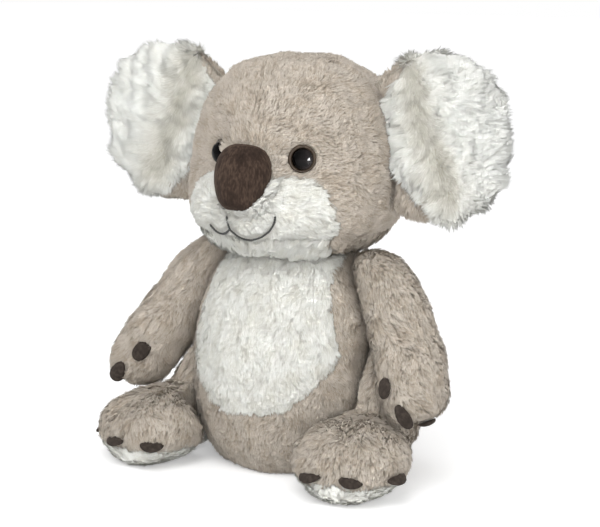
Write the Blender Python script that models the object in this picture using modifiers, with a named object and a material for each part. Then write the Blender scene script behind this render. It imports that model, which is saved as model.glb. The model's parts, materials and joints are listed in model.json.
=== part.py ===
# Sitting plush koala: sewn plush panels over stuffed bodies, joined at flat seam discs.
# Metres, +Z up. The toy faces -Y and its own left side is +X. The origin is on the floor under the neck.
import math

import bmesh
import bpy
import numpy as np
from mathutils import Matrix, Vector

mm = 0.001
left = 1
right = -1
sides = {"left": left, "right": right}

# Counts
limb_points = 8
turned_steps = 14
dome_steps = 6

# Fits
seam_gap = 0.3 * mm
plush_thickness = 4.0 * mm
flex_gap = 1.0 * mm
cut_overrun = 60 * mm

# Torso
torso_height = 136 * mm
torso_width = 132 * mm
torso_depth = 115 * mm
seat_panel_height = 9 * mm
belly_width = 104 * mm
belly_bottom = 41 * mm
belly_side_height = 84 * mm

# Head
head_width = 139 * mm
head_depth = 133 * mm
head_height = 122 * mm
muzzle_width = 108 * mm
muzzle_rise = 48 * mm
muzzle_back = 22 * mm

# Nose and mouth
nose_width = 37 * mm
nose_height = 45 * mm
nose_depth = 27 * mm
nose_rise = 48 * mm
nose_lean = math.radians(17)
mouth_width = 44 * mm
mouth_drop = 7.6 * mm
mouth_side = -5 * mm
philtrum_length = 3.6 * mm
mouth_thread = 1.6 * mm
thread_gap = 0.75 * mm

# Eyes
eye_diameter = 17 * mm
eye_rim = 2.2 * mm
rim_edge_share = 0.4
eye_rim_height = 1.6 * mm
eye_dome_height = 4.4 * mm
eye_shank_diameter = 5 * mm
eye_shank_length = 12 * mm
eye_seat_depth = 1.6 * mm
eye_rise = 59.5 * mm
eye_ray_forward = 2.4 * mm
eye_turn = math.radians(40)
washer_diameter = 15 * mm
washer_thickness = 1.6 * mm
washer_recess = 1 * mm

# Ears
ear_height = 104 * mm
ear_reach = 86 * mm
ear_thickness = 24 * mm
ear_cup = 9 * mm
ear_parting_back = 3.5 * mm
ear_rise = 72 * mm
ear_root_inset = 9.5 * mm
ear_root_forward = 7 * mm

# Arms
arm_length = 120 * mm
arm_thickness = 44 * mm
arm_seam_inset = 19 * mm
arm_seam_drop = 17 * mm
arm_seam_tilt = math.radians(25)
arm_splay = math.radians(9)

# Legs
leg_length = 124 * mm
haunch_height = 92 * mm
haunch_width = 52 * mm
foot_width = 70 * mm
leg_seam_inset = 8 * mm
leg_swing_radius = 54 * mm
haunch_clearance = 0.8 * mm
ankle_forward = 32 * mm
leg_seam_back = 4 * mm
leg_seam_height = 44 * mm
leg_turn_outs = {left: math.radians(10), right: math.radians(7)}
sole_depth = 8 * mm

# Claws
claw_length = 20 * mm
hand_claw_width = 11 * mm
foot_claw_width = 16 * mm
claw_thickness = 5 * mm
claw_curl = 3 * mm
hand_claw_rise = math.tan(math.radians(24))
hand_claw_out_share = 0.04
foot_claw_out_share = -0.16
foot_claw_height = 19 * mm
foot_claw_droop = math.tan(math.radians(14))
foot_claw_turns = {
    left: (math.radians(-24), math.radians(18), math.radians(60)),
    right: (math.radians(-36), math.radians(7), math.radians(60)),
}

# Places that follow from the sizes above
muzzle_top = torso_height + muzzle_rise
nose_centre_height = torso_height + nose_rise
mouth_centre_height = nose_centre_height - nose_height / 2 - philtrum_length - mouth_thread - 2 * thread_gap
eye_height = torso_height + eye_rise
ear_centre_height = torso_height + ear_rise
ear_root_side = head_width / 2 - ear_root_inset
ear_hinge_side = ear_root_side + flex_gap
arm_seam_side = torso_width / 2 - arm_seam_inset
arm_seam_height = torso_height - arm_seam_drop
leg_seam_side = torso_width / 2 - leg_seam_inset


def clear_scene():
    for old in list(bpy.data.objects):
        bpy.data.objects.remove(old, do_unlink=True)


def new_collection(name):
    collection = bpy.data.collections.new(name)
    bpy.context.scene.collection.children.link(collection)
    return collection


def new_material(name, hex_colour, roughness, metallic=0.0):
    material = bpy.data.materials.new(name)
    material.use_nodes = True
    shader = material.node_tree.nodes["Principled BSDF"]
    channels = [int(hex_colour[i:i + 2], 16) / 255 for i in (0, 2, 4)]
    linear = [c / 12.92 if c <= 0.04045 else ((c + 0.055) / 1.055) ** 2.4 for c in channels]
    shader.inputs["Base Color"].default_value = (*linear, 1)
    shader.inputs["Roughness"].default_value = roughness
    shader.inputs["Metallic"].default_value = metallic
    return material


def new_object(name, mesh, collection):
    made = bpy.data.objects.new(name, mesh)
    collection.objects.link(made)
    return made


def as_helper(made):
    made.hide_render = True
    made.display_type = "WIRE"
    return made


def mesh_from(bm, name):
    bmesh.ops.recalc_face_normals(bm, faces=bm.faces)
    mesh = bpy.data.meshes.new(name)
    bm.to_mesh(mesh)
    bm.free()
    mesh.shade_smooth()
    return mesh


# A subdivision surface shrinks its cage: this gives the cage whose surface passes through the sections.
def cage_values(values):
    values = np.asarray(values, float)
    count = len(values)
    weights = np.zeros((count, count))
    for i in range(count):
        weights[i, i] = 4 / 6 if 0 < i < count - 1 else 1
        if 0 < i < count - 1:
            weights[i, i - 1] = weights[i, i + 1] = 1 / 6
    return np.linalg.solve(weights, values)


# Sections are (centre, side vector, (front vector, back vector), squareness), each vector as long as the
# surface reaches, and the shares by which the front point and the two beside it stand out.
def cage_mesh(name, sections, points_round=12, side=left, bend=None):
    growth = 3 / (2 + math.cos(2 * math.pi / points_round))
    turns = [2 * math.pi * k / points_round for k in range(points_round)]
    rings = []
    for centre, across, front, squareness, *stands in sections:
        ring = []
        for k, turn in enumerate(turns):
            s, c = math.sin(turn), math.cos(turn)
            power = 2 / squareness
            s = math.copysign(abs(s) ** power, s)
            c = math.copysign(abs(c) ** power, c)
            reach = front[0] if c > 0 else front[1]
            nearness = min(k, points_round - k)
            if nearness < len(stands):
                c += stands[nearness]
            ring.append(centre + growth * (across * s + reach * abs(c)))
        rings.append(ring)
    rings = np.array(rings)
    rings = cage_values(rings.reshape(len(rings), -1)).reshape(rings.shape)
    if bend:
        rings = [[bend(point) for point in ring] for ring in rings]
    bm = bmesh.new()
    loops = []
    for ring in rings:
        loops.append([bm.verts.new((side * x, y, z)) for x, y, z in ring])
    for lower, upper in zip(loops, loops[1:]):
        for k in range(points_round):
            following = (k + 1) % points_round
            bm.faces.new((lower[k], lower[following], upper[following], upper[k]))
    bm.faces.new(loops[0])
    bm.faces.new(loops[-1])
    return mesh_from(bm, name)


def subdivide(made, levels):
    modifier = made.modifiers.new("soft surface", "SUBSURF")
    modifier.levels = levels
    modifier.render_levels = levels
    return made


# In hollow places skins only nest in one another where their facets split along the same diagonals.
def split_facets(made):
    modifier = made.modifiers.new("split facets", "TRIANGULATE")
    modifier.quad_method = "FIXED"
    return made


def cut(made, cutter, operation="DIFFERENCE", solver="EXACT"):
    modifier = made.modifiers.new(operation.lower() + " " + cutter.name, "BOOLEAN")
    modifier.operation = operation
    modifier.solver = solver
    modifier.object = cutter
    return made


# A new object from this one with its modifiers worked in.
def settled(made, name):
    graph = bpy.context.evaluated_depsgraph_get()
    mesh = bpy.data.meshes.new_from_object(made.evaluated_get(graph))
    mesh.name = name
    copy = as_helper(new_object(name, mesh, cutters))
    copy.matrix_world = made.matrix_world
    return copy


# A box that keeps or removes everything beyond a plane through a point.
def half_space(name, point, normal, gap=0.0):
    bm = bmesh.new()
    bmesh.ops.create_cube(bm, size=1)
    reach = 2 * (head_height + torso_height + cut_overrun)
    bmesh.ops.scale(bm, verts=bm.verts, vec=Vector((reach, reach, reach)))
    bmesh.ops.translate(bm, verts=bm.verts, vec=Vector((0, 0, reach / 2 + gap)))
    turn = Vector(normal).to_track_quat("Z", "Y").to_matrix().to_4x4()
    bmesh.ops.transform(bm, matrix=Matrix.Translation(Vector(point)) @ turn, verts=bm.verts)
    return as_helper(new_object(name, mesh_from(bm, name), cutters))


# A closed outline through the given (x, z) points, rounded between them.
def rounded_outline(points, steps=3):
    outline = []
    count = len(points)
    for i in range(count):
        p0, p1, p2, p3 = (Vector(points[(i + k) % count]) for k in (-1, 0, 1, 2))
        for step in range(steps):
            t = step / steps
            outline.append(
                0.5 * (2 * p1 + (p2 - p0) * t + (2 * p0 - 5 * p1 + 4 * p2 - p3) * t * t
                       + (3 * p1 - p0 - 3 * p2 + p3) * t ** 3)
            )
    return outline


# A prism with that outline seen from the front, grown by a gap, from one depth to another.
def front_prism(name, outline, gap, y_front, y_back):
    centre = sum(outline, Vector((0, 0))) / len(outline)
    bm = bmesh.new()
    corners = []
    for i, point in enumerate(outline):
        along = outline[(i + 1) % len(outline)] - outline[i - 1]
        outward = Vector((along.y, -along.x)).normalized()
        if outward.dot(point - centre) < 0:
            outward.negate()
        grown = point + outward * gap
        corners.append(bm.verts.new((grown.x, y_front, grown.y)))
    face = bm.faces.new(corners)
    made = bmesh.ops.extrude_face_region(bm, geom=[face])
    moved = [v for v in made["geom"] if isinstance(v, bmesh.types.BMVert)]
    bmesh.ops.translate(bm, verts=moved, vec=Vector((0, y_back - y_front, 0)))
    return as_helper(new_object(name, mesh_from(bm, name), cutters))


def cylinder(name, base, axis, radius, length, collection, segments=turned_steps):
    bm = bmesh.new()
    bmesh.ops.create_cone(bm, cap_ends=True, segments=segments, radius1=radius, radius2=radius, depth=length)
    bmesh.ops.translate(bm, verts=bm.verts, vec=Vector((0, 0, length / 2)))
    turn = axis.to_track_quat("Z", "Y").to_matrix().to_4x4()
    bmesh.ops.transform(bm, matrix=Matrix.Translation(base) @ turn, verts=bm.verts)
    return new_object(name, mesh_from(bm, name), collection)


def hinge_frame(name, point, axis):
    empty = new_object(name, None, parts)
    empty.location = point
    empty.rotation_euler = Vector(axis).to_track_quat("Z", "Y").to_euler()
    return empty


# Places the piece under the empty that carries its joint, without moving it.
def carry(piece, empty):
    piece.parent = empty
    piece.matrix_parent_inverse = Matrix.LocRotScale(empty.location, empty.rotation_euler, None).inverted()
    return piece


def finish(piece, material, empty=None):
    piece.data.materials.clear()
    piece.data.materials.append(material)
    if empty:
        carry(piece, empty)
    return piece


# Horizontal sections of the torso or the head.
# Shares: height, half width, reach to the front, reach to the back, squareness, extra reach of the snout
# and of the hollows beside it.
torso_section_shares = (
    (-0.08, 0.50, 0.50, 0.50, 2.0, 0, 0),
    (0.02, 0.76, 0.80, 0.78, 2.0, 0, 0),
    (0.17, 0.94, 0.97, 0.94, 2.0, 0, 0),
    (0.38, 1.00, 1.02, 1.00, 2.0, 0, 0),
    (0.60, 0.98, 0.98, 0.96, 2.0, 0, 0),
    (0.79, 0.88, 0.86, 0.86, 2.0, 0, 0),
    (0.93, 0.72, 0.70, 0.74, 2.0, 0, 0),
    (1.06, 0.46, 0.46, 0.50, 2.0, 0, 0),
)
head_section_shares = (
    (-0.07, 0.44, 0.40, 0.42, 2.0, 0, 0),
    (0.03, 0.71, 0.67, 0.71, 2.1, 0.04, 0),
    (0.14, 0.91, 0.85, 0.92, 2.3, 0.15, 0),
    (0.27, 0.98, 0.88, 1.01, 2.2, 0.18, -0.05),
    (0.42, 1.00, 0.84, 1.05, 1.95, 0.16, -0.30),
    (0.58, 0.97, 0.79, 1.06, 1.9, 0.08, -0.27),
    (0.74, 0.86, 0.68, 0.97, 1.95, 0, -0.08),
    (0.89, 0.62, 0.46, 0.74, 2.0, 0, 0),
    (0.98, 0.30, 0.18, 0.40, 2.0, 0, 0),
)


def upright_sections(shares, base, height, width, depth, inset):
    sections = []
    for height_share, side_share, front_share, back_share, squareness, *stands in shares:
        level = 0.5 + (height_share - 0.5) * (1 - 2 * inset / height)
        centre = np.array((0, 0, base + height * level))
        across = np.array((width / 2 * side_share - inset, 0, 0))
        reach = depth / 2 * front_share
        front = np.array((0, -(reach - inset), 0))
        back = np.array((0, depth / 2 * back_share - inset, 0))
        stands = [share * reach / (reach - inset) for share in stands]
        sections.append((centre, across, (front, back), squareness, *stands))
    return sections


def torso_form(name, inset, levels):
    sections = upright_sections(torso_section_shares, 0, torso_height, torso_width, torso_depth, inset)
    form = subdivide(as_helper(new_object(name, cage_mesh(name, sections), cutters)), levels)
    cut(form, half_space(name + " floor plane", (0, 0, 0), (0, 0, -1), -inset))
    cut(form, half_space(name + " neck plane", (0, 0, torso_height), (0, 0, 1), -inset))
    for word, side in sides.items():
        cut(form, half_space(f"{name} arm plane {word}", arm_seam_point(side), arm_seam_normal(side), -inset))
        cut(form, half_space(f"{name} leg plane {word}", leg_seam_point(side), leg_seam_normal(side), -inset))
    return settled(form, name + " settled")


def head_form(name, inset, levels):
    sections = upright_sections(head_section_shares, torso_height, head_height, head_width, head_depth, inset)
    form = subdivide(as_helper(new_object(name, cage_mesh(name, sections), cutters)), levels)
    split_facets(form)
    neck = (0, 0, torso_height + seam_gap)
    cut(form, half_space(name + " neck plane", neck, (0, 0, -1), -inset))
    return settled(form, name + " settled")


def arm_seam_point(side):
    return Vector((side * arm_seam_side, 0, arm_seam_height))


def arm_seam_normal(side):
    return Vector((side * math.cos(arm_seam_tilt), 0, math.sin(arm_seam_tilt)))


def leg_seam_point(side):
    return Vector((side * leg_seam_side, leg_seam_back, leg_seam_height))


def leg_seam_normal(side):
    return Vector((side, 0, 0))


arm_middle_share = 0.31
arm_parting_share = 0.48
hand_share = 0.60
hand_forward_share = 0.08
# The arm hangs along its seam plane. Shares of the arm length and thickness:
# distance down the arm, bend to the front, lift off the plane, width, thickness.
arm_section_shares = (
    (-0.125, 0.00, 0.26, 0.36, 0.26),
    (-0.07, 0.00, 0.32, 0.66, 0.52),
    (0.07, 0.00, 0.40, 0.92, 0.80),
    (0.26, 0.01, 0.46, 0.98, 0.91),
    (0.46, 0.04, 0.50, 1.02, 0.96),
    (0.62, 0.08, 0.52, 1.04, 0.98),
    (0.75, 0.12, 0.52, 0.86, 0.84),
    (0.82, 0.15, 0.52, 0.46, 0.46),
)


def arm_frame():
    normal = arm_seam_normal(left)
    down = Vector((math.sin(arm_seam_tilt), 0, -math.cos(arm_seam_tilt)))
    front = Vector((0, -1, 0))
    down = (down * math.cos(arm_splay) + front * math.sin(arm_splay)).normalized()
    front = normal.cross(down)
    if front.y > 0:
        front.negate()
    return normal, down, front


def arm_form(name, side, inset, levels, plane_gap):
    normal, down, front = (np.array(v) for v in arm_frame())
    origin = np.array(arm_seam_point(left))
    sections = []
    for along, bend, lift, width_share, thickness_share in arm_section_shares:
        reach = arm_length * (arm_middle_share + (along - arm_middle_share) * (1 - 2 * inset / arm_length))
        centre = origin + down * reach + front * arm_length * bend + normal * arm_thickness * lift
        across = front * (arm_thickness / 2 * width_share - inset)
        out = normal * (arm_thickness / 2 * thickness_share - inset)
        sections.append((centre, across, (out, -out), 2.0))
    mesh = cage_mesh(name, sections, limb_points, side)
    form = subdivide(as_helper(new_object(name, mesh, cutters)), levels)
    cut(form, half_space(name + " seam plane", arm_seam_point(side), -arm_seam_normal(side), -plane_gap))
    return settled(form, name + " settled")


leg_middle_share = 0.2
foot_share = 0.42
foot_side_share = 0.12
ankle_share = 0.55
# Shares along the leg from the hip to the toes: distance, outward of the seam plane in haunch widths,
# middle height and half height in haunch heights, half width in foot widths.
leg_section_shares = (
    (-0.30, 0.10, 0.40, 0.16, 0.14),
    (-0.20, 0.10, 0.46, 0.40, 0.26),
    (-0.02, 0.10, 0.51, 0.49, 0.31),
    (0.14, 0.12, 0.40, 0.39, 0.33),
    (0.27, 0.14, 0.27, 0.25, 0.37),
    (0.41, 0.14, 0.245, 0.25, 0.49),
    (0.56, 0.12, 0.225, 0.235, 0.47),
    (0.67, 0.12, 0.19, 0.17, 0.34),
    (0.71, 0.12, 0.17, 0.08, 0.16),
)


# The space behind the ankle that the swinging arm sweeps, beyond its seam plane.
def arm_swing_room(name, side, inset):
    normal, along = arm_seam_normal(side), Vector((0, 1, 0))
    deep, long, tall = leg_length, leg_length, 2 * leg_length
    bm = bmesh.new()
    bmesh.ops.create_cube(bm, size=1)
    bmesh.ops.scale(bm, verts=bm.verts, vec=Vector((deep, long, tall)))
    shift = Vector((deep / 2 - haunch_clearance - inset, long / 2 - ankle_forward - inset, 0))
    bmesh.ops.translate(bm, verts=bm.verts, vec=shift)
    turn = Matrix((normal, along, normal.cross(along))).transposed().to_4x4()
    bmesh.ops.transform(bm, matrix=Matrix.Translation(arm_seam_point(side)) @ turn, verts=bm.verts)
    return as_helper(new_object(name, mesh_from(bm, name), cutters))


def leg_form(name, side, inset, levels, plane_gap):
    turn_out = leg_turn_outs[side]
    forward = np.array((math.sin(turn_out), -math.cos(turn_out), 0))
    outward = np.array((math.cos(turn_out), math.sin(turn_out), 0))
    up = np.array((0, 0, 1))
    origin = np.array((leg_seam_side, leg_seam_back, 0))
    sections = []
    for along, out_share, middle, half_height, half_width in leg_section_shares:
        reach = leg_length * (leg_middle_share + (along - leg_middle_share) * (1 - 2 * inset / leg_length))
        offset = haunch_width * out_share
        centre = origin + forward * reach + np.array((offset, 0, 0)) + up * haunch_height * middle
        across = outward * (foot_width * half_width - inset)
        rise = up * (haunch_height * half_height - inset)
        sections.append((centre, across, (rise, -rise), 2.2))
    mesh = cage_mesh(name, sections, limb_points, side)
    form = subdivide(as_helper(new_object(name, mesh, cutters)), levels)
    disc = leg_seam_point(side) + leg_seam_normal(side) * plane_gap
    room = cylinder(name + " swing room", disc, -leg_seam_normal(side), leg_swing_radius + inset, leg_length,
                    cutters, 2 * turned_steps)
    cut(form, as_helper(room))
    cut(form, arm_swing_room(name + " arm room", side, inset))
    cut(form, half_space(name + " floor plane", (0, 0, 0), (0, 0, -1), -inset))
    return settled(form, name + " settled")


# The skin of one panel: the outer form kept inside a region, with the filling's space taken out.
# The curved skins leave slivers on which the exact solver drops the whole panel.
def panel(name, outer, cavity, keep=(), remove=()):
    piece = new_object(name, outer.data.copy(), parts)
    for region in keep:
        cut(piece, region, "INTERSECT", "MANIFOLD")
    for region in (*remove, cavity):
        cut(piece, region, "DIFFERENCE", "MANIFOLD")
    return piece


# The outline's right half joined to its mirror image.
def mirrored(points):
    return points + [(-x, z) for x, z in reversed(points) if x]


# Shares of the belly panel's half width, and of the rise from its bottom to its widest place.
belly_outline_shares = ((0, 0), (0.55, 0.14), (0.92, 0.60), (1.00, 1.00))
belly_neck_share = 0.76


def build_torso():
    outer = torso_form("torso outer", 0, 1)
    cavity = torso_form("torso cavity", plush_thickness, 1)
    filling = torso_form("torso stuffing", plush_thickness + seam_gap, 1)
    half_width, top = belly_width / 2, torso_height + cut_overrun
    rise = belly_side_height - belly_bottom
    points = [(half_width * side_share, belly_bottom + rise * rise_share)
              for side_share, rise_share in belly_outline_shares]
    points += [(half_width * belly_neck_share, torso_height), (half_width * belly_neck_share, top)]
    outline = rounded_outline(mirrored(points))
    front = -torso_depth
    belly_cut = front_prism("belly region", outline, 0, front, 0)
    belly_room = front_prism("belly opening", outline, seam_gap, front, 0)
    front_half = half_space("torso front half", (0, 0, 0), (0, -1, 0), seam_gap / 2)
    back_half = half_space("torso back half", (0, 0, 0), (0, 1, 0), seam_gap / 2)
    above_seat = half_space("above the seat", (0, 0, seat_panel_height), (0, 0, 1), seam_gap / 2)
    seat = half_space("seat region", (0, 0, seat_panel_height), (0, 0, -1), seam_gap / 2)
    finish(panel("torso_front", outer, cavity, (front_half, above_seat), (belly_room,)), taupe)
    finish(panel("belly_panel", outer, cavity, (front_half, belly_cut)), white)
    for word, side in sides.items():
        flank = half_space(f"back seam {word}", (0, 0, 0), (side, 0, 0), seam_gap / 2)
        finish(panel(f"torso_back_{word}", outer, cavity, (back_half, above_seat, flank)), taupe)
    finish(panel("seat_panel", outer, cavity, (seat,)), taupe)
    finish(new_object("torso_filling", filling.data.copy(), parts), fibre)


# Where a level ray from the middle plane leaves the head form, and that ray.
def eye_point(side, outer):
    axis = Vector((side * math.sin(eye_turn), -math.cos(eye_turn), 0))
    found, point, _, _ = outer.ray_cast(Vector((0, -eye_ray_forward, eye_height)), axis)
    if not found:
        raise ValueError("the eye's axis misses the head")
    return point, axis


def eye_mesh(name):
    radius = eye_diameter / 2
    shank = eye_shank_diameter / 2
    dome = radius - eye_rim
    rim_crest = radius - eye_rim * rim_edge_share
    profile = [(0, eye_rim_height + eye_dome_height)]
    for k in range(1, dome_steps):
        turn = math.pi / 2 * (1 - k / dome_steps)
        profile.append((dome * math.cos(turn), eye_rim_height + eye_dome_height * math.sin(turn)))
    profile += [(dome, eye_rim_height), (rim_crest, eye_rim_height), (radius, eye_rim_height / 2)]
    profile += [(rim_crest, 0), (shank, 0), (shank, -eye_shank_length), (0, -eye_shank_length)]
    bm = bmesh.new()
    points = [bm.verts.new((x, 0, z)) for x, z in profile]
    for first, second in zip(points, points[1:]):
        bm.edges.new((first, second))
    mesh = bpy.data.meshes.new(name)
    bm.to_mesh(mesh)
    bm.free()
    return mesh


def screw(made, steps):
    modifier = made.modifiers.new("turned", "SCREW")
    modifier.steps = steps
    modifier.render_steps = steps
    modifier.use_merge_vertices = True
    modifier.merge_threshold = 0.05 * mm
    return made


# Shares of the muzzle panel's half width, and of the head's height below the panel's top.
muzzle_outline_shares = (
    (0, 0.07),
    (0.30, 0),
    (0.66, 0),
    (0.90, 0.07),
    (1.00, 0.20),
    (0.94, 0.27),
    (0.76, 0.39),
    (0.70, 0.90),
)


def build_head(empty):
    outer = head_form("head outer", 0, 1)
    cavity = head_form("head cavity", plush_thickness, 1)
    filling_form = head_form("head stuffing", plush_thickness + seam_gap, 1)
    points = [(muzzle_width / 2 * side_share, muzzle_top - head_height * drop_share)
              for side_share, drop_share in muzzle_outline_shares]
    outline = rounded_outline(mirrored(points))
    region = front_prism("muzzle region", outline, 0, -head_depth, -muzzle_back)
    room = front_prism("muzzle opening", outline, seam_gap, -head_depth, seam_gap - muzzle_back)
    filling = new_object("head_filling", filling_form.data.copy(), parts)
    pocket_depth = eye_shank_length + eye_seat_depth
    shanks = []
    for word, side in sides.items():
        point, axis = eye_point(side, outer)
        bottom = point - axis * pocket_depth
        hole = cylinder(f"eye hole {word}", bottom, axis, eye_shank_diameter / 2 + seam_gap,
                        pocket_depth + plush_thickness, cutters)
        pocket = cylinder(f"washer pocket {word}", bottom, axis, washer_diameter / 2 + seam_gap,
                          pocket_depth - plush_thickness + washer_recess, cutters)
        seat = cylinder(f"eye seat {word}", point - axis * eye_seat_depth, axis, eye_diameter / 2 + seam_gap,
                        eye_diameter, cutters)
        shanks.append((word, side, point, axis, as_helper(hole), as_helper(pocket), as_helper(seat)))
        cut(filling, pocket)
    finish(filling, fibre, empty)
    for word, side, point, axis, hole, pocket, seat in shanks:
        half_head = half_space(f"head seam {word}", (0, 0, 0), (side, 0, 0), seam_gap / 2)
        piece = panel(f"head_{word}", outer, cavity, (half_head,), (room, hole, pocket, seat))
        finish(piece, taupe, empty)
        eye = screw(new_object(f"eye_{word}", eye_mesh(f"eye {word}"), parts), turned_steps)
        eye.location = point - axis * (eye_seat_depth - seam_gap)
        eye.rotation_euler = axis.to_track_quat("Z", "Y").to_euler()
        finish(eye, eye_plastic, empty)
        washer_face = point - axis * (plush_thickness - washer_recess + seam_gap + washer_thickness)
        washer = cylinder(f"eye_washer_{word}", washer_face, axis, washer_diameter / 2, washer_thickness,
                          parts)
        cut(washer, hole)
        finish(washer, washer_plastic, empty)
    finish(panel("muzzle_panel", outer, cavity, (region,)), white, empty)
    return outer


nose_section_shares = (
    (-0.46, 0.34, 0.50),
    (-0.34, 0.66, 0.86),
    (-0.12, 0.92, 1.00),
    (0.12, 1.00, 1.00),
    (0.33, 0.81, 0.88),
    (0.46, 0.43, 0.52),
)


def build_nose(outer, clearance, empty):
    found, surface, _, _ = outer.ray_cast(Vector((0, -head_depth, nose_centre_height)), Vector((0, 1, 0)))
    if not found:
        raise ValueError("the nose misses the head")
    up = np.array((0, math.sin(nose_lean), math.cos(nose_lean)))
    front = np.array((0, -math.cos(nose_lean), math.sin(nose_lean)))
    sections = []
    for along, width_share, depth_share in nose_section_shares:
        centre = np.array(surface) + up * nose_height * along
        across = np.array((nose_width / 2 * width_share, 0, 0))
        reach = front * nose_depth / 2 * depth_share
        sections.append((centre, across, (reach, -reach), 2.05))
    nose = subdivide(new_object("nose", cage_mesh("nose", sections, 10), parts), 1)
    finish(cut(nose, clearance), velour, empty)


# A thread that lies on the muzzle under the given (x, z) points.
def stitched_line(name, points, outer, empty):
    lift = mouth_thread / 2 + thread_gap
    placed = []
    for x, z in points:
        found, surface, normal, _ = outer.ray_cast(Vector((x, -head_depth, z)), Vector((0, 1, 0)))
        if not found:
            raise ValueError("the mouth misses the muzzle")
        placed.append(surface + normal * lift)
    curve = bpy.data.curves.new(name, "CURVE")
    curve.dimensions = "3D"
    spline = curve.splines.new("POLY")
    spline.points.add(len(placed) - 1)
    for target, place in zip(spline.points, placed):
        target.co = (*place, 1)
    curve.bevel_depth = mouth_thread / 2
    curve.bevel_resolution = 1
    curve.use_fill_caps = True
    finish(new_object(name, curve, parts), thread, empty)


# Shares of half the mouth's width and of its drop, from its middle to its corner on either side.
left_smile_shares = (
    (0.07, -0.19),
    (0.13, -0.42),
    (0.21, -0.62),
    (0.33, -0.74),
    (0.47, -0.76),
    (0.66, -0.64),
    (0.88, -0.39),
    (1.09, -0.01),
    (1.20, 0.36),
    (1.28, 0.76),
    (1.29, 1.10),
)


right_smile_shares = (
    (0.11, -0.16),
    (0.28, -0.38),
    (0.46, -0.53),
    (0.63, -0.51),
    (0.74, -0.36),
    (0.78, -0.10),
    (0.81, 0.10),
)


def build_mouth(outer, empty):
    smile = [(-side_share, height_share) for side_share, height_share in reversed(right_smile_shares)]
    smile += [(0, 0), *left_smile_shares]
    smile = [(mouth_side + mouth_width / 2 * side_share, mouth_centre_height + mouth_drop * height_share)
             for side_share, height_share in smile]
    stitched_line("mouth_smile", smile, outer, empty)
    top = nose_centre_height - nose_height / 2
    bottom = top - philtrum_length
    philtrum = [(mouth_side, height) for height in (top, (top + bottom) / 2, bottom)]
    stitched_line("mouth_philtrum", philtrum, outer, empty)


# Shares of the ear's reach, half height and half thickness.
ear_section_shares = (
    (-0.16, 0.52, 0.20),
    (-0.04, 0.70, 0.26),
    (0.08, 0.84, 0.50),
    (0.24, 0.97, 0.88),
    (0.46, 1.00, 1.00),
    (0.68, 0.90, 0.98),
    (0.86, 0.66, 0.86),
    (0.97, 0.32, 0.56),
)


ear_flat_share = 0.45


# The ear's middle surface: dished, with its rim to the front.
def ear_dish(x, z):
    up_share = (z - ear_centre_height) / (ear_height / 2)
    out_share = max(0, (x - ear_root_side) / ear_reach - ear_flat_share) / (1 - ear_flat_share)
    return ear_root_forward - ear_cup * (up_share ** 2 + out_share ** 2) / 2


def ear_bend(point):
    x, y, z = point
    return x, y + ear_dish(x, z), z


def ear_parting(name, side, gap):
    bm = bmesh.new()
    bmesh.ops.create_grid(bm, x_segments=6, y_segments=6, size=ear_height)
    for vert in bm.verts:
        x, z = ear_root_side + ear_reach / 2 + vert.co.x, ear_centre_height + vert.co.y
        vert.co = (side * x, ear_dish(x, z) + ear_parting_back - gap, z)
    made = bmesh.ops.extrude_face_region(bm, geom=bm.faces[:])
    moved = [v for v in made["geom"] if isinstance(v, bmesh.types.BMVert)]
    bmesh.ops.translate(bm, verts=moved, vec=Vector((0, -ear_height, 0)))
    return as_helper(new_object(name, mesh_from(bm, name), cutters))


def build_ear(word, side, room, empty):
    sections = []
    for reach_share, height_share, thickness_share in ear_section_shares:
        centre = np.array((ear_root_side + ear_reach * reach_share, 0, ear_centre_height))
        across = np.array((0, 0, ear_height / 2 * height_share))
        front = np.array((0, -ear_thickness / 2 * thickness_share, 0))
        sections.append((centre, across, (front, -front), 2.0))
    mesh = cage_mesh(f"ear {word}", sections, 12, side, ear_bend)
    form = subdivide(as_helper(new_object(f"ear form {word}", mesh, cutters)), 1)
    cut(form, room)
    form = settled(form, f"ear form {word} settled")
    front = new_object(f"ear_front_{word}", form.data.copy(), parts)
    finish(cut(front, ear_parting(f"ear front region {word}", side, seam_gap / 2), "INTERSECT"), white, empty)
    back = new_object(f"ear_back_{word}", form.data.copy(), parts)
    finish(cut(back, ear_parting(f"ear back region {word}", side, -seam_gap / 2)), taupe, empty)


claw_section_shares = (
    (-0.42, 0.52, 0.60),
    (-0.10, 0.94, 0.98),
    (0.22, 0.94, 0.90),
    (0.47, 0.42, 0.44),
)


# A claw rooted in the limb's skin at the place where a ray leaves it. It points along the tip direction,
# and its flat side faces up, or faces away from the skin where no direction is given.
def build_claw(name, start, ray, tip, facing, rise_share, out_share, width, outer, clearance, empty):
    found, place, normal, _ = outer.ray_cast(start, ray)
    if not found:
        raise ValueError(name + " misses its paw")
    facing = facing or normal
    along = (tip - facing * tip.dot(facing)).normalized()
    along = (along + facing * rise_share).normalized()
    across = along.cross(facing).normalized()
    lift = across.cross(along).normalized()
    if lift.dot(facing) < 0:
        lift.negate()
    sections = []
    for share, width_share, thickness_share in claw_section_shares:
        curl = claw_curl * (share + 0.5) ** 2
        centre = np.array(place + along * claw_length * (share + out_share) - lift * curl)
        rise = np.array(lift * claw_thickness / 2 * thickness_share)
        sections.append((centre, np.array(across * width / 2 * width_share), (rise, -rise), 2.2))
    claw = subdivide(new_object(name, cage_mesh(name, sections, 6), parts), 1)
    finish(cut(claw, clearance), suede, empty)


# Hand claws. Shares: ray and tip directions along the arm's outward, front and down vectors.
hand_claw_shares = (
    ((-0.25, 1.0, -0.10), (0.0, 0.3, 1.0)),
    ((0.05, 0.75, 0.62), (0.1, 0.5, 1.0)),
    ((0.14, 0.05, 1.00), (0.2, 0.2, 1.0)),
)


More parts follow.
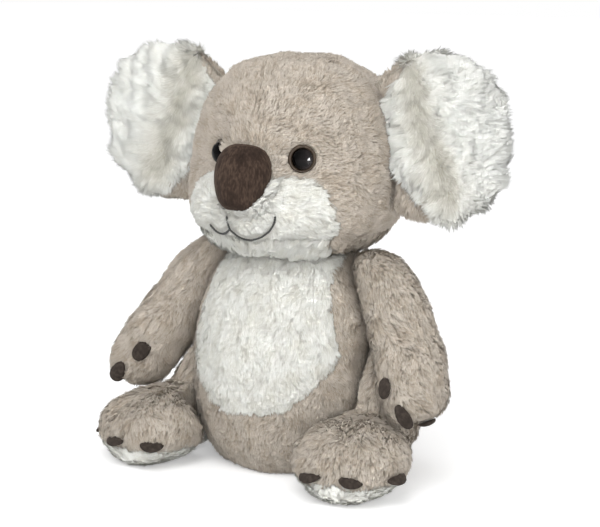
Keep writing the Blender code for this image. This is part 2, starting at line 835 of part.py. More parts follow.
def build_arm(word, side, empty):
    outer = arm_form(f"arm outer {word}", side, 0, 1, seam_gap)
    cavity = arm_form(f"arm cavity {word}", side, plush_thickness, 1, plush_thickness)
    inside = plush_thickness + seam_gap
    filling = arm_form(f"arm stuffing {word}", side, inside, 1, inside)
    clearance = arm_form(f"arm clearance {word}", side, -seam_gap, 1, 0)
    normal = arm_seam_normal(side)
    middle = arm_seam_point(side) + normal * arm_thickness * arm_parting_share
    outer_half = half_space(f"arm outer half {word}", middle, normal, seam_gap / 2)
    inner_half = half_space(f"arm inner half {word}", middle, -normal, seam_gap / 2)
    finish(panel(f"arm_outer_{word}", outer, cavity, (outer_half,)), taupe, empty)
    finish(panel(f"arm_inner_{word}", outer, cavity, (inner_half,)), taupe, empty)
    finish(new_object(f"arm_filling_{word}", filling.data.copy(), parts), fibre, empty)
    axes = [Vector((side * v.x, v.y, v.z)) for v in arm_frame()]
    normal, down, front = axes
    centre = arm_seam_point(side) + normal * arm_thickness * arm_parting_share
    centre = centre + (down * hand_share + front * hand_forward_share) * arm_length
    for number, (ray, tip) in enumerate(hand_claw_shares, 1):
        ray = (normal * ray[0] + front * ray[1] + down * ray[2]).normalized()
        tip = (normal * tip[0] + front * tip[1] + down * tip[2]).normalized()
        build_claw(f"hand_claw_{word}_{number}", centre, ray, tip, None, hand_claw_rise, hand_claw_out_share,
                   hand_claw_width, outer, clearance, empty)


def build_leg(word, side, empty):
    outer = leg_form(f"leg outer {word}", side, 0, 1, seam_gap)
    cavity = leg_form(f"leg cavity {word}", side, plush_thickness, 1, plush_thickness)
    inside = plush_thickness + seam_gap
    filling = leg_form(f"leg stuffing {word}", side, inside, 1, inside)
    clearance = leg_form(f"leg clearance {word}", side, -seam_gap, 1, 0)
    turn_out = leg_turn_outs[side]
    outward = Vector((side * math.cos(turn_out), math.sin(turn_out), 0))
    forward = Vector((side * math.sin(turn_out), -math.cos(turn_out), 0))
    foot = Vector((side * leg_seam_side, leg_seam_back, 0))
    foot = foot + forward * leg_length * foot_share + Vector((side * haunch_width * foot_side_share, 0, 0))
    ankle = foot - forward * foot_width * ankle_share
    outer_half = half_space(f"leg outer half {word}", foot, outward, seam_gap / 2)
    inner_half = half_space(f"leg inner half {word}", foot, -outward, seam_gap / 2)
    sole_room = sole_box(f"sole room {word}", ankle, forward, seam_gap)
    sole_region = sole_box(f"sole region {word}", ankle, forward, 0)
    finish(panel(f"leg_outer_{word}", outer, cavity, (outer_half,), (sole_room,)), taupe, empty)
    finish(panel(f"leg_inner_{word}", outer, cavity, (inner_half,), (sole_room,)), taupe, empty)
    finish(panel(f"sole_{word}", outer, cavity, (sole_region,)), white, empty)
    finish(new_object(f"leg_filling_{word}", filling.data.copy(), parts), fibre, empty)
    for number, turn in enumerate(foot_claw_turns[side], 1):
        start = foot + Vector((0, 0, foot_claw_height))
        ray = forward * math.cos(turn) + outward * math.sin(turn)
        build_claw(f"foot_claw_{word}_{number}", start, ray, ray, Vector((0, 0, 1)), -foot_claw_droop,
                   foot_claw_out_share, foot_claw_width, outer, clearance, empty)


# The space under the foot, from the ankle forward, up to the sole's seam.
def sole_box(name, ankle, forward, gap):
    bm = bmesh.new()
    bmesh.ops.create_cube(bm, size=1)
    long, wide, tall = leg_length, leg_length, sole_depth + cut_overrun
    bmesh.ops.scale(bm, verts=bm.verts, vec=Vector((wide, long + gap, tall)))
    bmesh.ops.translate(bm, verts=bm.verts, vec=Vector((0, (long - gap) / 2, sole_depth + gap - tall / 2)))
    turn = Vector((forward.x, forward.y, 0)).to_track_quat("Y", "Z").to_matrix().to_4x4()
    bmesh.ops.transform(bm, matrix=Matrix.Translation(ankle) @ turn, verts=bm.verts)
    return as_helper(new_object(name, mesh_from(bm, name), cutters))


clear_scene()
parts = new_collection("plush_koala")
cutters = new_collection("cutters")
taupe = new_material("taupe plush", "B9AEA2", 0.95)
white = new_material("white plush", "EDEDE8", 0.95)
fibre = new_material("polyester filling", "F2F2F0", 1.0)
velour = new_material("brown velour", "4A3B34", 0.9)
suede = new_material("dark suede", "3F3833", 0.85)
thread = new_material("embroidery thread", "3A3A38", 0.6)
eye_plastic = new_material("moulded eye plastic", "15141A", 0.08)
washer_plastic = new_material("moulded washer plastic", "D8D8D4", 0.4)

head_axis = hinge_frame("head_turn_axis", (0, 0, torso_height), (0, 0, 1))
build_torso()
head_outer = build_head(head_axis)
build_nose(head_outer, head_form("nose clearance", -seam_gap, 1), head_axis)
build_mouth(head_outer, head_axis)
ear_room = head_form("ear room", -flex_gap, 1)
for word, side in sides.items():
    ear_root = (side * ear_hinge_side, ear_root_forward, ear_centre_height)
    ear_axis = hinge_frame(f"ear_axis_{word}", ear_root, (0, 0, 1))
    build_ear(word, side, ear_room, ear_axis)
    arm_axis = hinge_frame(f"arm_axis_{word}", arm_seam_point(side), arm_seam_normal(side))
    build_arm(word, side, arm_axis)
    leg_axis = hinge_frame(f"leg_axis_{word}", leg_seam_point(side), leg_seam_normal(side))
    build_leg(word, side, leg_axis)
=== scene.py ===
import json
import math

import bpy
import numpy as np
from mathutils import Matrix, Vector
from mathutils.bvhtree import BVHTree
from mathutils.kdtree import KDTree

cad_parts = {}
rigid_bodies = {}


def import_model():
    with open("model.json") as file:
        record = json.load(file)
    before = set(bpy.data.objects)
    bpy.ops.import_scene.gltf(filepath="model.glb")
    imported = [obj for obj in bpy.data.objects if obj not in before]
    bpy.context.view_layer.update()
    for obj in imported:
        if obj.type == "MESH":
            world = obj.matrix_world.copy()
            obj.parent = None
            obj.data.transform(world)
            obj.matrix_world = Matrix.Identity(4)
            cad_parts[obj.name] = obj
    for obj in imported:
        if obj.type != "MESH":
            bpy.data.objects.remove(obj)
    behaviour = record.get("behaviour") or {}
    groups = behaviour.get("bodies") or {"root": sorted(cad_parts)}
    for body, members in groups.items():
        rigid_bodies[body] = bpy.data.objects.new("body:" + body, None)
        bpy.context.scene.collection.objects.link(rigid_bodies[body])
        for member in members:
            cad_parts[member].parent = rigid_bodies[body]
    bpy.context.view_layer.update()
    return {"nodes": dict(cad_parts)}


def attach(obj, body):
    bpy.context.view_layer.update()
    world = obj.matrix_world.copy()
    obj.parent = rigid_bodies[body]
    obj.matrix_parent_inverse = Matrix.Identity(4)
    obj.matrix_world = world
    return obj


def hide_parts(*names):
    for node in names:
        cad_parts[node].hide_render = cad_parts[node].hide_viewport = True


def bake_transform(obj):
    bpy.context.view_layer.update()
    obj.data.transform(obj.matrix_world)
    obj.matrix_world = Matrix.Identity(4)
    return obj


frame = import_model()
cad = frame["nodes"]
mm = 0.001
sides = {"left": 1, "right": -1}
scene = bpy.context.scene
print("frame loaded:", len(cad), "nodes")


# general helpers

def fromHex(code):
    values = [int(code[i:i + 2], 16) / 255 for i in (1, 3, 5)]
    return tuple(v / 12.92 if v <= 0.04045 else ((v + 0.055) / 1.055) ** 2.4 for v in values) + (1.0,)


def addNode(tree, kind, settings=None, links=None):
    node = tree.nodes.new(kind)
    for name, value in (settings or {}).items():
        if name in node.inputs:
            node.inputs[name].default_value = value
        else:
            setattr(node, name, value)
    for name, source in (links or {}).items():
        tree.links.new(source, node.inputs[name])
    return node


def addRamp(tree, source, stops):
    node = addNode(tree, "ShaderNodeValToRGB", links={"Fac": source})
    ramp = node.color_ramp
    while len(ramp.elements) < len(stops):
        ramp.elements.new(0.5)
    for element, (place, code) in zip(ramp.elements, stops):
        element.position = place
        element.color = fromHex(code)
    return node.outputs["Color"]


def objectSpace(tree):
    return addNode(tree, "ShaderNodeTexCoord").outputs["Object"]


def addNoise(tree, place, scale, detail):  # scale: features in a metre
    node = addNode(tree, "ShaderNodeTexNoise", {"Scale": scale, "Detail": detail}, {"Vector": place})
    return node.outputs["Fac"]


def addBump(tree, shader, source, strength, distance):
    bump = addNode(tree, "ShaderNodeBump", {"Strength": strength, "Distance": distance}, {"Height": source})
    tree.links.new(bump.outputs["Normal"], shader.inputs["Normal"])


def addColors(tree, shader, source, stops):
    tree.links.new(addRamp(tree, source, stops), shader.inputs["Base Color"])


def newMaterial(name, settings):
    material = bpy.data.materials.new(name)
    material.use_nodes = True
    tree = material.node_tree
    tree.nodes.clear()
    shader = addNode(tree, "ShaderNodeBsdfPrincipled", settings)
    addNode(tree, "ShaderNodeOutputMaterial", links={"Surface": shader.outputs["BSDF"]})
    return material, tree, shader


def unit(vectors):
    return vectors / np.maximum(np.linalg.norm(vectors, axis=-1, keepdims=True), 1e-12)


def smoothNoise(points, size, seed, layers=14):  # a sum of waves, mostly between -1.5 and 1.5
    rng = np.random.default_rng(seed)
    waves = unit(rng.normal(size=(layers, 3))) * rng.uniform(0.7, 1.5, (layers, 1)) * 2 * math.pi / size
    phases = rng.uniform(0, 2 * math.pi, layers)
    return np.sin(points @ waves.T + phases).sum(axis=1) / layers ** 0.5


def corners(mesh):
    points = np.empty(len(mesh.vertices) * 3, np.float32)
    mesh.vertices.foreach_get("co", points)
    return points.reshape(-1, 3).astype(float)


def trianglesOf(mesh):
    mesh.calc_loop_triangles()
    faces = np.empty(len(mesh.loop_triangles) * 3, np.int32)
    mesh.loop_triangles.foreach_get("vertices", faces)
    return faces.reshape(-1, 3)


def newObject(name, mesh):
    made = bpy.data.objects.new(name, mesh)
    scene.collection.objects.link(made)
    return made


def meshFrom(name, points, faces):
    mesh = bpy.data.meshes.new(name)
    mesh.from_pydata([tuple(p) for p in points], [], [tuple(int(i) for i in f) for f in faces])
    mesh.update()
    return mesh


def treeOf(points, faces):
    return BVHTree.FromPolygons([Vector(p) for p in points], [tuple(int(i) for i in f) for f in faces])


def cadMesh(names):  # the points and triangles of these CAD solids together
    points, faces, start = [], [], 0
    for name in names:
        own = corners(cad[name].data)
        points.append(own)
        faces.append(trianglesOf(cad[name].data) + start)
        start += len(own)
    return np.concatenate(points), np.concatenate(faces)


def nodeTree(*names):
    return treeOf(*cadMesh(names))


def edgesOf(quads):
    return np.concatenate([quads[:, [0, 1]], quads[:, [1, 2]], quads[:, [2, 3]], quads[:, [3, 0]]])


def largestIsland(points, quads):
    label = np.arange(len(points))
    pairs = edgesOf(quads)
    while True:
        lower = np.minimum(label[pairs[:, 0]], label[pairs[:, 1]])
        before = label.copy()
        np.minimum.at(label, pairs[:, 0], lower)
        np.minimum.at(label, pairs[:, 1], lower)
        label = label[label]
        if (label == before).all():
            break
    values, counts = np.unique(label, return_counts=True)
    keep = label == values[counts.argmax()]
    index = np.cumsum(keep) - 1
    return points[keep], index[quads[keep[quads[:, 0]]]]


def relax(points, quads, rounds, shrink=0.5, swell=-0.52):  # smooths the facets and keeps the volume
    pairs = np.unique(np.sort(edgesOf(quads), axis=1), axis=0)
    ends = np.concatenate([pairs, pairs[:, ::-1]])
    count = np.bincount(ends[:, 0], minlength=len(points))[:, None]
    for step in range(2 * rounds):
        total = [np.bincount(ends[:, 0], points[ends[:, 1], k], len(points)) for k in range(3)]
        points = points + (np.stack(total, axis=1) / count - points) * (shrink if step % 2 == 0 else swell)
    return points


def normalsOf(points, quads):
    a, b = points[quads[:, 2]] - points[quads[:, 0]], points[quads[:, 3]] - points[quads[:, 1]]
    turned = np.cross(a, b)
    normals = np.zeros_like(points)
    for k in range(4):
        for axis in range(3):
            normals[:, axis] += np.bincount(quads[:, k], turned[:, axis], len(points))
    return unit(normals)


def smoothForm(nodes, voxel, rounds):  # one smooth closed body round these CAD solids
    rough = newObject("rough", meshFrom("rough", *cadMesh(nodes)))
    remesh = rough.modifiers.new("voxels", "REMESH")
    remesh.mode = "VOXEL"
    remesh.voxel_size = voxel
    made = rough.evaluated_get(bpy.context.evaluated_depsgraph_get()).to_mesh()
    points = corners(made)
    quads = np.array([list(f.vertices) for f in made.polygons])
    bpy.data.objects.remove(rough, do_unlink=True)
    points, quads = largestIsland(points, quads)
    points = relax(points, quads, rounds)
    return points, quads, normalsOf(points, quads)


# materials

# fibres pass light on to their neighbours
softLight = {"Subsurface Weight": 1.0, "Subsurface Radius": (1.0, 1.0, 1.0), "Subsurface Scale": 1.5 * mm}
mixColors = dict(first=6, second=7, result=2)  # the mix node's sockets for colours


def pileMaterial(name, stops, strands, settings):
    material, tree, shader = newMaterial(name, {"Roughness": 0.9, "Specular IOR Level": 0.2, **settings})
    place = addNode(tree, "ShaderNodeUVMap", {"uv_map": "OFBake"})
    split = addNode(tree, "ShaderNodeSeparateXYZ", links={"Vector": place.outputs["UV"]})
    # painted shade: each strand's colour darkens from its tip down to its root
    along = addRamp(tree, split.outputs["Y"], stops)
    each = addRamp(tree, split.outputs["X"], strands)
    mixed = addNode(tree, "ShaderNodeMix", {"data_type": "RGBA", "blend_type": "MULTIPLY", "Factor": 1.0})
    tree.links.new(along, mixed.inputs[mixColors["first"]])
    tree.links.new(each, mixed.inputs[mixColors["second"]])
    tree.links.new(mixed.outputs[mixColors["result"]], shader.inputs["Base Color"])
    shader.subsurface_method = "BURLEY"
    return material


# Knitted polyester plush, brushed up: matte, painted shade darkening each strand towards its root, each
# strand a little different.
taupePile = pileMaterial(
    "polyesterPlushTaupe",
    [(0.0, "#A69C90"), (0.35, "#B4ABA0"), (0.75, "#BFB7AC"), (1.0, "#C7C1B8")],
    [(0.0, "#E6E1DA"), (0.3, "#F2EFEB"), (0.7, "#FAF9F7"), (1.0, "#FFFFFF")],
    {"Sheen Weight": 0.2, "Sheen Roughness": 0.5, "Sheen Tint": fromHex("#F4EDE6"), **softLight},
)
# The same plush in white: soft-edged, because more light goes on from strand to strand.
whitePile = pileMaterial(
    "polyesterPlushWhite",
    [(0.0, "#C4C3BD"), (0.4, "#CCCCC7"), (0.8, "#D1D2CE"), (1.0, "#D4D5D2")],
    [(0.0, "#F0EEE9"), (0.3, "#F7F6F3"), (0.6, "#FCFBFA"), (1.0, "#FFFFFF")],
    {"Sheen Weight": 0.15, "Sheen Roughness": 0.5, "Sheen Tint": fromHex("#FFFFFF"), **softLight,
     "Subsurface Scale": 3.0 * mm},
)
# Long white pile of the ears: the same fibre, with painted shade, grey-beige, down the hollow.
longPile = pileMaterial(
    "polyesterPlushLongWhite",
    [(0.0, "#CCCBC6"), (0.4, "#D3D3CF"), (0.8, "#D7D8D5"), (1.0, "#DADBD9")],
    [(0.0, "#C4C0B5"), (0.3, "#DEDBD4"), (0.6, "#F5F4F1"), (1.0, "#FFFFFF")],
    {"Sheen Weight": 0.15, "Sheen Roughness": 0.5, "Sheen Tint": fromHex("#FFFFFF"), **softLight,
     "Subsurface Scale": 2.0 * mm},
)


# The knitted ground under the pile: dull loops that only show as shade between the tufts.
def groundMaterial(name, dark, light):
    material, tree, shader = newMaterial(name, {"Roughness": 0.95, "Specular IOR Level": 0.15})
    place = objectSpace(tree)
    loops = addNode(tree, "ShaderNodeTexVoronoi", {"Scale": 900.0}, {"Vector": place})  # 1.1 mm loops
    # painted shade: the knit's loops darker where they meet
    addColors(tree, shader, loops.outputs["Distance"], [(0.0, light), (0.7, dark)])
    addBump(tree, shader, loops.outputs["Distance"], 0.4, 0.3 * mm)
    return material


taupeGround = groundMaterial("knittedGroundTaupe", "#9B9489", "#ADA69B")
whiteGround = groundMaterial("knittedGroundWhite", "#C9C7C1", "#D2D0CB")


# stuffed bodies

stuffing = {
    "torso": dict(
        body="torso", voxel=2.2 * mm, rounds=40, inset=1.5 * mm, fill=0.8, lumps=0.5 * mm, dent=0.5 * mm,
        panels=("torso_front", "belly_panel", "torso_back_left", "torso_back_right", "seat_panel"),
        filling="torso_filling"),
    "head": dict(
        body="head", voxel=2.2 * mm, rounds=40, inset=1.5 * mm, fill=0.85, lumps=0.5 * mm, dent=0.3 * mm,
        panels=("head_left", "head_right", "muzzle_panel"),
        filling="head_filling"),
}
for word in sides:
    stuffing[f"arm_{word}"] = dict(
        body=f"{word}_arm", voxel=1.7 * mm, rounds=30, inset=1.5 * mm, fill=0.7,
        lumps=0.6 * mm, dent=0.7 * mm,
        panels=(f"arm_outer_{word}", f"arm_inner_{word}"),
        filling=f"arm_filling_{word}")
    stuffing[f"leg_{word}"] = dict(
        body=f"{word}_leg", voxel=1.8 * mm, rounds=30, inset=1.5 * mm, fill=0.7,
        lumps=0.6 * mm, dent=1.3 * mm,
        panels=(f"leg_outer_{word}", f"leg_inner_{word}", f"sole_{word}"),
        filling=f"leg_filling_{word}")
    stuffing[f"ear_{word}"] = dict(
        body=f"{word}_ear", voxel=1.5 * mm, rounds=30, inset=1.8 * mm, fill=0.4,
        lumps=0.8 * mm, dent=0.0,
        panels=(f"ear_front_{word}", f"ear_back_{word}"),
        filling=None)
# the stuffed cloth's lumps, its seams and its lowest points
surface = dict(lumpSize=34 * mm, seamWidth=2.6 * mm, lowest=0.4 * mm, lastRounds=4)

# the ear's hollow runs down its front, a line of (x, z) in mm
# inside the inner edge, a line like it, the taupe back wraps round to the front
ear = dict(
    hollow=((80, 244), (84, 232), (92, 208), (100, 192), (106, 177)),
    hollowReach=12 * mm, hollowDepth=5 * mm, hollowFacing=1.5,
    innerEdge=((104, 160), (94, 170), (84, 180), (74, 190), (64, 200), (64, 225), (70, 240), (76, 255)),
    root=60 * mm, middle=208 * mm, rimTurn=0.75, locks=0.4 * mm, lockSize=12 * mm, lockSeed=20,
    drawnIn=(0.99, 0.965))


def fromLine(points, line):  # the way and the distance to the points from a line of straight runs
    way, distance = np.zeros_like(points), np.full(len(points), 1.0)
    for a, b in zip(line, line[1:]):
        share = np.clip((points - a) @ (b - a) / ((b - a) @ (b - a)), 0, 1)[:, None]
        offset = points - (a + share * (b - a))
        far = np.linalg.norm(offset, axis=1)
        closer = far < distance
        way[closer], distance[closer] = offset[closer], far[closer]
    return way, distance


def fromHollow(points):  # seen from the front
    flat = np.stack([np.abs(points[:, 0]), points[:, 2]], axis=1)
    return fromLine(flat, np.array(ear["hollow"]) * mm)


def hollowShare(points):  # 1 along the hollow, 0 away from it
    return np.exp(-(fromHollow(points)[1] / ear["hollowReach"]) ** 2)


def innerEdgeAt(heights):  # how far out the inner edge lies
    line = np.array(ear["innerEdge"]) * mm
    return np.interp(heights, line[:, 1], line[:, 0])


# folds where the stuffed limbs bend: a line (mm, on the left side), how deep,
# and how far it reaches to either side
creases = {
    "arm": [(((84, -30, 97), (92, -29, 95), (103, -26, 90)), 1.9 * mm, 4 * mm)],
    "leg": [(((68, -50, 47), (75, -61, 44), (81, -68, 40), (86, -75, 33)), 2.2 * mm, 3.2 * mm),
            (((58, -27, 50), (70, -29, 48), (84, -25, 47)), 2.0 * mm, 4.5 * mm)],
}


def creaseDepth(points, name):  # in metres
    depth = np.zeros(len(points))
    limb, _, word = name.partition("_")
    for line, deep, reach in creases.get(limb, []):
        line = np.array(line) * mm * (sides[word], 1, 1)
        depth = np.maximum(depth, deep * np.exp(-(fromLine(points, line)[1] / reach) ** 2))
    return depth


def shapeEar(points, normals, side, seed):  # drawn in a little, hollow in front, with faint locks
    out, height = side * points[:, 0] - ear["root"], points[:, 2] - ear["middle"]
    points[:, 0] = side * (ear["root"] + np.where(out > 0, out * ear["drawnIn"][0], out))
    points[:, 2] = ear["middle"] + height * ear["drawnIn"][1]
    frontShare = np.clip(-normals[:, 1] * ear["hollowFacing"], 0, 1)
    points[:, 1] += ear["hollowDepth"] * hollowShare(points) * frontShare
    return points + normals * (ear["locks"] * smoothNoise(points, ear["lockSize"], seed))[:, None]


soleOver = dict(reach=5 * mm, height=12.5 * mm, front=-52 * mm)
whitePanels = ("belly_panel", "muzzle_panel", "sole_left", "sole_right", "ear_front_left", "ear_front_right")


def panelsOf(name, reach, points, quads, normals):  # the number of the panel whose cloth covers each face
    panelOf = reach.argmin(axis=1)[quads[:, 0]]
    if name.startswith("ear"):  # 0 is the white front, 1 the taupe back
        middles = points[quads].mean(axis=1)
        out, inner = np.abs(middles[:, 0]), innerEdgeAt(middles[:, 2])
        panelOf[(out > inner) & (normals[quads[:, 0], 1] < ear["rimTurn"])] = 0
        panelOf[out < inner] = 1
    if name.startswith("leg"):  # 2 is the white sole: up to its seam, and a little over it in front
        near = (reach[:, 2] < soleOver["reach"])[quads[:, 0]] & (points[quads[:, 0], 2] < soleOver["height"])
        near &= points[quads[:, 0], 1] < soleOver["front"]
        panelOf[near] = 2
    return panelOf


forms = {}
for seed, (name, s) in enumerate(stuffing.items(), 11):
    nodes = [*s["panels"], *([s["filling"]] if s["filling"] else [])]
    points, quads, normals = smoothForm(nodes, s["voxel"], s["rounds"])
    reach = np.empty((len(points), len(s["panels"])))
    for k, panel in enumerate(s["panels"]):
        found = nodeTree(panel)
        reach[:, k] = [found.find_nearest(Vector(p))[3] for p in points]
    order = np.sort(reach, axis=1)
    seam = np.exp(-((order[:, 1] - order[:, 0]) / surface["seamWidth"]) ** 2)  # near 1 along a seam
    depth = s["inset"] + s["dent"] * seam - s["lumps"] * smoothNoise(points, surface["lumpSize"], seed)
    depth += creaseDepth(points, name)
    points = points - normals * depth[:, None]
    if name.startswith("ear"):
        points = shapeEar(points, normals, sides[name.split("_")[1]], seed + ear["lockSeed"])
    points[:, 2] = np.maximum(points[:, 2], surface["lowest"])
    points = relax(points, quads, surface["lastRounds"])
    normals = normalsOf(points, quads)
    panelOf = panelsOf(name, reach, points, quads, normals)
    piece = newObject(f"{name}_stuffed", meshFrom(name, points, quads))
    piece.data.shade_smooth()
    piece.data.materials.append(taupeGround)
    piece.data.materials.append(whiteGround)
    white = np.isin(np.array(s["panels"])[panelOf], whitePanels)
    piece.data.polygons.foreach_set("material_index", white.astype(np.int32))
    forms[name] = dict(points=points, quads=quads, normals=normals, panelOf=panelOf, body=s["body"],
                       tree=treeOf(points, quads), piece=piece)
    if s["filling"]:
        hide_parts(s["filling"])
    print("stuffed", name, len(quads), "faces")


# which way the pile lies

def nearest(tree, points, limit):
    out = np.full(len(points), limit)
    for i, p in enumerate(points):
        found = tree.find_nearest(Vector(p), limit)
        if found[3] is not None:
            out[i] = found[3]
    return out


noseTree = nodeTree("nose")
mouthTree = nodeTree("mouth_smile", "mouth_philtrum")


def noseGap(points):
    return nearest(noseTree, points, 9 * mm)


def mouthGap(points):
    return nearest(mouthTree, points, 7 * mm)


def awayFrom(*place):
    return lambda points: unit(points - np.array(place) * mm)


def towards(*direction):
    return lambda points: np.broadcast_to(unit(np.array(direction, float)), points.shape)


# where the pile is brushed from or to: places in mm, on the left side, and how far each one's pull reaches
brushed = dict(
    face=(0, -76, 176), faceSag=0.25,
    nose=(0, -95, 183), noseReach=6 * mm, noseBelow=174 * mm, nosePull=2,
    hollowReach=12 * mm, hollowSag=1.15, earRoot=(66, 0, 206),
    footCrown=(74, -44, 62), footFrom=24 * mm, footFade=18 * mm, soleMiddle=(76, -50, 0), soleRise=0.3)


def onSide(place, side):
    return side * place[0], *place[1:]


def headNap(points):
    return awayFrom(*brushed["face"])(points) + brushed["faceSag"] * towards(0, 0.5, -1)(points)


def muzzleNap(points):  # round the nose's lower edge the pile is brushed up against it
    down = headNap(points)
    toNose = unit(np.array(brushed["nose"]) * mm - points)
    near = np.clip(1 - noseGap(points) / brushed["noseReach"], 0, 1) * (points[:, 2] < brushed["noseBelow"])
    return down * (1 - near[:, None]) + brushed["nosePull"] * toNose * near[:, None]


def earNap(side):  # out from the hollow, and down in it
    def nap(points):
        way, distance = fromHollow(points)
        out = unit(np.stack([side * way[:, 0], np.zeros(len(way)), way[:, 1]], axis=1))
        share = np.clip(distance / brushed["hollowReach"], 0, 1)[:, None]
        return out * share + (brushed["hollowSag"] - share) * towards(side * 0.35, 0, -1)(points)
    return nap


def legNap(side):  # down the haunch, and out from the foot's crown
    def nap(points):
        crown = awayFrom(*onSide(brushed["footCrown"], side))(points)
        haunch = towards(0, -1, -0.75)(points)
        share = np.clip((-points[:, 1:2] - brushed["footFrom"]) / brushed["footFade"], 0, 1)
        return haunch * (1 - share) + crown * share
    return nap


def soleNap(side):  # out from under the foot
    def nap(points):
        out = points - np.array(onSide(brushed["soleMiddle"], side)) * mm
        out[:, 2] = 0
        return unit(out) + towards(0, 0, brushed["soleRise"])(points)
    return nap


# pile: lengths, widths and clumps in mm, strands to the square mm

pileDefaults = dict(
    lift=0.27, swirl=0.45, clump=2.6, width=0.62, gather=0.4, rows=2, smooth=0.92, round=0.15, uneven=0.12,
    tone=0.55, spread=0.3, hug=0, liftSpread=0.12, where=None, turned=(0, 0, 0), rimShort=False)
headPile = dict(form="head", nap=headNap, length=4.2, density=2.4, material=taupePile)
pile = {
    "headPile_left": dict(headPile, panels=("head_left",)),
    "headPile_right": dict(headPile, panels=("head_right",)),
    "muzzlePile": dict(
        form="head", panels=("muzzle_panel",), nap=muzzleNap, length=4.6, density=2.6, lift=0.22, clump=3.0,
        smooth=0.95, hug=0.85, material=whitePile),
    "bellyPile": dict(
        form="torso", panels=("belly_panel",), nap=towards(0, -0.1, -1), length=4.6, density=2.6, lift=0.26,
        clump=3.2, smooth=0.95, hug=0.5, material=whitePile),
    "torsoFrontPile": dict(
        form="torso", panels=("torso_front", "seat_panel"), nap=towards(0, 0, -1), length=4.2, density=2.4,
        material=taupePile),
}
limbPile = dict(length=4.7, density=2.5, clump=2.8, gather=0.42, swirl=0.35, smooth=0.95, material=taupePile)
for word, side in sides.items():
    pile[f"torsoBackPile_{word}"] = dict(
        form="torso", panels=(f"torso_back_{word}",), nap=towards(0, 0, -1), length=4.2, density=2.2,
        material=taupePile)
    armDown = towards(side * 0.42, -0.16, -0.89)
    for part in ("outer", "inner"):
        pile[f"arm{part.capitalize()}Pile_{word}"] = dict(
            limbPile, form=f"arm_{word}", panels=(f"arm_{part}_{word}",), nap=armDown)
        pile[f"leg{part.capitalize()}Pile_{word}"] = dict(
            limbPile, form=f"leg_{word}", panels=(f"leg_{part}_{word}",), nap=legNap(side))
    pile[f"solePile_{word}"] = dict(
        form=f"leg_{word}", panels=(f"sole_{word}",), nap=soleNap(side), length=4.0, density=3.0, lift=0.2,
        clump=3.2, smooth=0.95, turned=(0, -0.2, 0.7), material=whitePile)
    pile[f"earFrontPile_{word}"] = dict(
        form=f"ear_{word}", panels=(f"ear_front_{word}",), nap=earNap(side), length=9.5, density=2.9, rows=3,
        lift=0.22, swirl=0.35, clump=4.0, gather=0.22, width=0.7, smooth=0.985, round=0.04, uneven=0.25,
        liftSpread=0.04, turned=(0, -0.5, 0.05), material=longPile)
    pile[f"earBackPile_{word}"] = dict(
        form=f"ear_{word}", panels=(f"ear_back_{word}",), nap=awayFrom(*onSide(brushed["earRoot"], side)),
        length=4.8, density=2.6, rimShort=True, material=taupePile)

# longer tufts that lie over the nose's lower edge, and hang over the neck from the chin and jaw
noseEdge = dict(gap=(0.3 * mm, 4.5 * mm), top=(181 * mm, 171 * mm))  # the tops on the left and on the right
chin = dict(top=150 * mm, back=30 * mm, facing=(-0.97, -0.2), mouthGap=5 * mm, least=0.35, fade=0.55)


def roundNose(points, normals):
    gap = noseGap(points)
    top = np.where(points[:, 0] > 0, *noseEdge["top"])
    return (gap > noseEdge["gap"][0]) & (gap < noseEdge["gap"][1]) & (points[:, 2] < top)


def underChin(points, normals):
    low, high = chin["facing"]
    inside = (points[:, 2] < chin["top"]) & (normals[:, 2] < high) & (normals[:, 2] > low)
    inside &= (points[:, 1] < chin["back"]) & (mouthGap(points) > chin["mouthGap"])
    down = np.clip((high - normals[:, 2]) / chin["fade"], 0, 1)
    return inside * (chin["least"] + (1 - chin["least"]) * down)  # grows longer and looser downwards


fringe = dict(form="head", rows=3, clump=3.2, gather=0.45, width=0.7, smooth=0.9, liftSpread=0.08)
pile["noseFringe"] = dict(
    fringe, panels=("muzzle_panel",), nap=muzzleNap, length=7.4, density=2.6, lift=0.42, gather=0.3,
    material=whitePile, where=roundNose)
pile["chinFringe"] = dict(
    fringe, panels=("muzzle_panel",), nap=towards(0, -0.5, -1), length=8.0, density=2.4, lift=0.5, hug=1,
    turned=(0, -0.15, 0.1), material=whitePile, where=underChin)
for word, side in sides.items():
    pile[f"jawFringe_{word}"] = dict(
        fringe, panels=(f"head_{word}",), nap=towards(side * 0.5, -0.3, -1), length=6.5, density=2.2,
        lift=0.35, hug=0.2, material=taupePile, where=underChin)


# how the strands grow

eyeTurn = math.radians(40)  # how far each eye looks out to its side


def eyeAxis(side):
    return Vector((side * math.sin(eyeTurn), -math.cos(eyeTurn), 0))


def eyeFront(word):  # where the CAD eye's rim face meets its own axis
    axis = np.array(eyeAxis(sides[word]))
    own = corners(cad[f"eye_{word}"].data)
    along = own @ axis
    middle = own.mean(axis=0)
    return middle + axis * (along.max() - middle @ axis)


# nothing grows within "bare", and from there the length comes back over "fade"
clear = dict(
    eye=dict(bare=8.2 * mm, start=4 * mm, fade=9 * mm, least=0.4),
    nose=dict(bare=0.8 * mm, fade=6 * mm, low=174 * mm, leastLow=0.9, leastHigh=0.35),
    mouth=dict(bare=1.6 * mm, start=1 * mm, fade=4 * mm, least=0.3))


